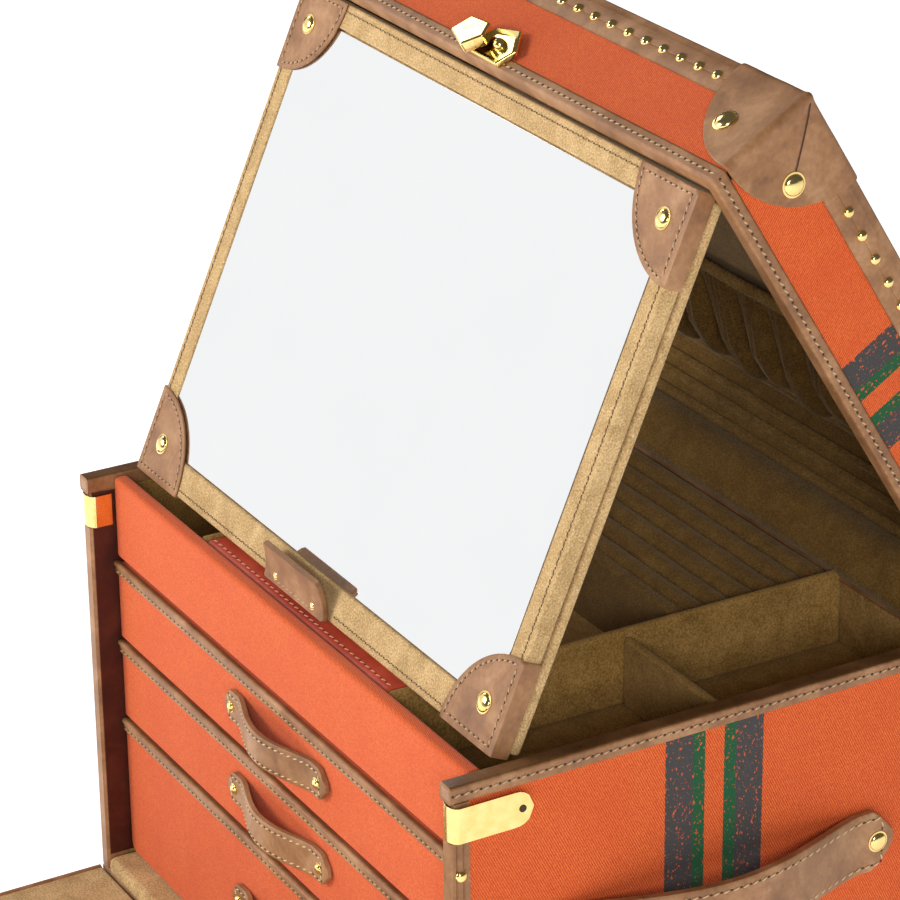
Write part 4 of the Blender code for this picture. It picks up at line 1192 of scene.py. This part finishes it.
# ---------------------------------------------------------------- mirror panel
def mirror_panel():
    low = -MIRROR_LENGTH
    border = flat_ring((-MIRROR_HALF, low), (MIRROR_HALF, 0), (-GLASS_SIDE, GLASS_LOW),
                       (GLASS_SIDE, GLASS_HIGH), 0, 7)
    piece("mirror_border", border, SUEDE, "mirror_panel", "mirror_frame", bevel=0.9)
    board = rounded_box((-MIRROR_HALF + 0.4, 2.6, low + 0.4), (MIRROR_HALF - 0.4, 6.9, -0.4), 0.5, 2)
    piece("mirror_board", board, SUEDE, "mirror_panel")
    glass = rounded_box((-GLASS_SIDE + 0.7, 0.5, GLASS_LOW + 0.7),
                        (GLASS_SIDE - 0.7, 2.5, GLASS_HIGH - 0.7), 0.12, 1)
    piece("looking_glass", glass, SILVER, "mirror_panel", "mirror_glass")
    leaf = rounded_box((-MIRROR_HALF, 8.4, low + 1), (MIRROR_HALF, 12.6, -2.5), 1.6, 4)
    piece("mirror_back_leaf", leaf, SUEDE, "mirror_panel", "mirror_back")
    inset, free, tab = 3.0, CORNER_RADIUS - 1, 26.5
    side, end = MIRROR_HALF - inset, MIRROR_HALF - free
    lines = [((x, 0, low + free), (x, 0, -free)) for x in (-side, side)]
    lines += [((a, 0, z), (b, 0, z)) for a, b, z in
              ((-end, -tab, low + inset), (tab, end, low + inset), (-end, end, -inset))]
    seam = Seam()
    for line in lines:
        seam.run(line, TO_FRONT, 3.7, 0.55)
    seam.finish("mirror_stitches", "mirror_panel", SUEDE_THREAD)
    for side, x_name in SIDES:
        for up, z_name in ((-1, "lower"), (1, "upper")):
            mirror_corner(side, up, "%s_%s" % (z_name, x_name))
    mirror_tab()


def flat_ring(outer_low, outer_high, inner_low, inner_high, near, far):
    """A flat frame in X and Z between two Y values."""
    rows = [[(x, y, z) for x, z in ((low[0], low[1]), (high[0], low[1]), (high[0], high[1]),
                                    (low[0], high[1]))]
            for low, high, y in ((outer_low, outer_high, near), (outer_low, outer_high, far),
                                 (inner_low, inner_high, far), (inner_low, inner_high, near))]
    return skin(bmesh.new(), rows, around=True, closed=True)


def mirror_corner(side, up, name):
    """A quarter-round leather corner folded round the panel's edge, stitched all round, with one rivet."""
    corner = Vector((side * MIRROR_HALF, 0, 0 if up > 0 else -MIRROR_LENGTH))
    across, along = Vector((-side, 0, 0)), Vector((0, 0, -up))
    radii = [CORNER_RADIUS * r for r in (0.0, 0.06, 0.15, 0.3, 0.5, 0.7, 0.85, 0.95, 1.0)]
    bm = bmesh.new()
    fan(bm, corner, across, along, radii, [90 * i / 18 for i in range(19)])
    depth = Vector((0, 7.0, 0))
    for edge in (along,) if up > 0 else (across, along):
        near = [corner + edge * radius for radius in radii]
        skin(bm, [near, [point + depth for point in near]], recalc=False)
    bmesh.ops.remove_doubles(bm, verts=bm.verts, dist=0.02)
    bmesh.ops.recalc_face_normals(bm, faces=bm.faces)
    face_towards(bm, 40, TO_FRONT)
    piece("mirror_leather_" + name, bm, LEATHER, "mirror_panel", "mirror_corner_" + name, thick=0.9,
          smooth=50)
    face = corner + Vector((0, -0.92, 0))
    spot = face + across * 13.6 + along * 15.0
    rivets("mirror_rivet_" + name, [(spot, TO_FRONT)], "mirror_panel", radius=4.4, height=1.8)
    inset = 2.4
    reach = CORNER_RADIUS - inset
    start = face + (across + along) * inset
    bow = [face + across * x + along * z for x, z in arc((0, 0), reach, 4, 86, 16)]
    seam = Seam().run(bow, TO_FRONT, 3.3)
    seam.run([start, face + across * inset + along * (reach - 1)], TO_FRONT, 3.3)
    seam.run([start, face + across * (reach - 1) + along * inset], TO_FRONT, 3.3)
    seam.finish("mirror_corner_stitches_" + name, "mirror_panel")


def mirror_tab():
    """A flared, unmarked leather tab, riveted to the panel's lower edge. It bends off the glass."""
    low, tall, thick, middle, steps = -MIRROR_LENGTH - 0.9, 15.4, 2.4, -1.5, 16
    rows = []
    for i in range(steps + 1):
        t = i / steps
        rise, slope = TAB_BEND * t ** 1.7, TAB_BEND * 1.7 * t ** 0.7 / tall
        half = (51.0 - 5.0 * t - (0 if 0 < i < steps else 2.0)) / 2
        lean = Vector((0, -1, -slope)).normalized()
        section = rounded_profile((-half, 0.0), (half, thick), 0.7, 3)
        rows.append([Vector((middle + x, -0.4 - rise, low + tall * t)) + lean * out for x, out in section])
    bm = skin(bmesh.new(), rows, around=True, capped=True)
    piece("leather_tab", bm, LEATHER, "mirror_panel", "mirror_tab", smooth=50)
    face = -0.45 - thick
    line = [(middle + x, face, low + 1.7) for x in (-17, 17)]
    Seam().run(line, TO_FRONT, 3.3).finish("tab_stitches", "mirror_panel")
    spots = [((middle + x, face - 0.1, low + 3.6), TO_FRONT) for x in (-15.7, 15.7)]
    rivets("tab_rivets", spots, "mirror_panel", radius=2.0, height=1.1)


# ---------------------------------------------------------------- flap
def flap():
    """The drop front lying open: canvas below, suede above, leather folded round three edges."""
    low, high = (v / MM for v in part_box("flap_binding"))
    near, far, top = high.y, low.y, high.z
    board = rounded_box((-HALF + 1.4, far + 1.4, 0.5), (HALF - 1.4, near, top - 0.5), 1.4, 4)
    second_material(board, -UP, 0.3)
    piece("flap_suede", board, [SUEDE, CANVAS], "flap", "flap_board")
    lip = 4.2
    x, y = HALF - lip / 2, far + lip / 2
    path = [(x, near - 0.5, 0), (x, y, 0), (-x, y, 0), (-x, near - 0.5, 0)]
    bm = sweep(path, rounded_profile((-lip / 2, 0), (lip / 2, top), 1.9, 5))
    piece("flap_leather", bm, LEATHER, "flap", "flap_binding", smooth=60)
    edge_stitches("flap_stitches", "flap", top / 2, HALF, (near - 3, far + 3), HALF - 3, far)


# ---------------------------------------------------------------- stage
def put(name, data):
    obj = bpy.data.objects.new(name, data)
    bpy.context.scene.collection.objects.link(obj)
    return obj


def stage_floor():
    """A pale floor that is lit through, like a light table, so that it stays white with little shadow."""
    bm = bmesh.new()
    bmesh.ops.create_grid(bm, x_segments=8, y_segments=8, size=6.0)
    mesh = bpy.data.meshes.new("floor")
    bm.to_mesh(mesh)
    bm.free()
    r = Recipe("pale_floor", roughness=0.9)
    r.set("Base Color", r.mix(r.noise(800.0, 2.0), (0.90, 0.90, 0.90), (0.92, 0.92, 0.92)))
    r.set("Emission Color", (1.0, 1.0, 1.0, 1.0))
    r.set("Emission Strength", FLOOR_GLOW)
    mesh.materials.append(r.material)
    put("floor", mesh)


def area_light(name, place, target, size, radiance, tint=(1, 1, 1)):
    """A soft box of even brightness, where 1 is the white of the picture."""
    data = bpy.data.lights.new(name, "AREA")
    data.shape = "RECTANGLE"
    data.size, data.size_y = size
    data.energy = radiance * WHITE_POWER * size[0] * size[1]
    data.color = tint
    obj = put(name, data)
    obj.location = place
    obj.rotation_mode = "QUATERNION"
    obj.rotation_quaternion = (Vector(target) - Vector(place)).to_track_quat("-Z", "Y")


def lights():
    """A grey room, soft boxes, and a white card in front that the mirror shows."""
    world = bpy.data.worlds.new("studio")
    world.use_nodes = True
    background = world.node_tree.nodes["Background"]
    background.inputs["Color"].default_value = (WORLD_GREY, WORLD_GREY, WORLD_GREY, 1.0)
    background.inputs["Strength"].default_value = 1.0
    bpy.context.scene.world = world
    for name, (place, width, radiance) in SOFT_BOXES.items():
        area_light(name, place, (0.0, 0.0, 0.2), (width, width), radiance, WARM)
    height = CARD_SIZE[1] / 2 + 0.002
    place = CARD_DIRECTION * CARD_AWAY + UP * height
    area_light("card", place, (0, -0.05, height), CARD_SIZE, CARD_RADIANCE)


def camera():
    data = bpy.data.cameras.new("camera")
    data.lens = CAMERA_LENS
    data.sensor_width = 36.0
    data.shift_x, data.shift_y = CAMERA_SHIFT
    data.clip_start, data.clip_end = 0.05, 60.0
    obj = put("camera", data)
    obj.location = CAMERA_PLACE
    obj.rotation_mode = "XYZ"
    obj.rotation_euler = (math.radians(90 - CAMERA_ELEVATION), 0, math.radians(CAMERA_AZIMUTH))
    bpy.context.scene.camera = obj


def build():
    for side, name in SIDES:
        side_wall(side, name)
        edge_leather(side, name)
        clip(side, name)
        side_handle(side, name)
    back_and_base()
    for side, name in SIDES:
        back_corner_binding(side, name)
    rim_binding()
    tray()
    for number, bottom, top, corner in DRAWERS:
        drawer(number, bottom, top, corner)
    lid_boards()
    lid_rim()
    gusset()
    lid_bands()
    for side, x_name in SIDES:
        for end, y_name in ((-1, "front"), (1, "back")):
            cap(side, end, "%s_%s" % (y_name, x_name))
    lid_inside()
    latch()
    hinges()
    mirror_panel()
    flap()
    stage_floor()
    lights()
    camera()
    bpy.context.scene.view_settings.view_transform = "Standard"


build()
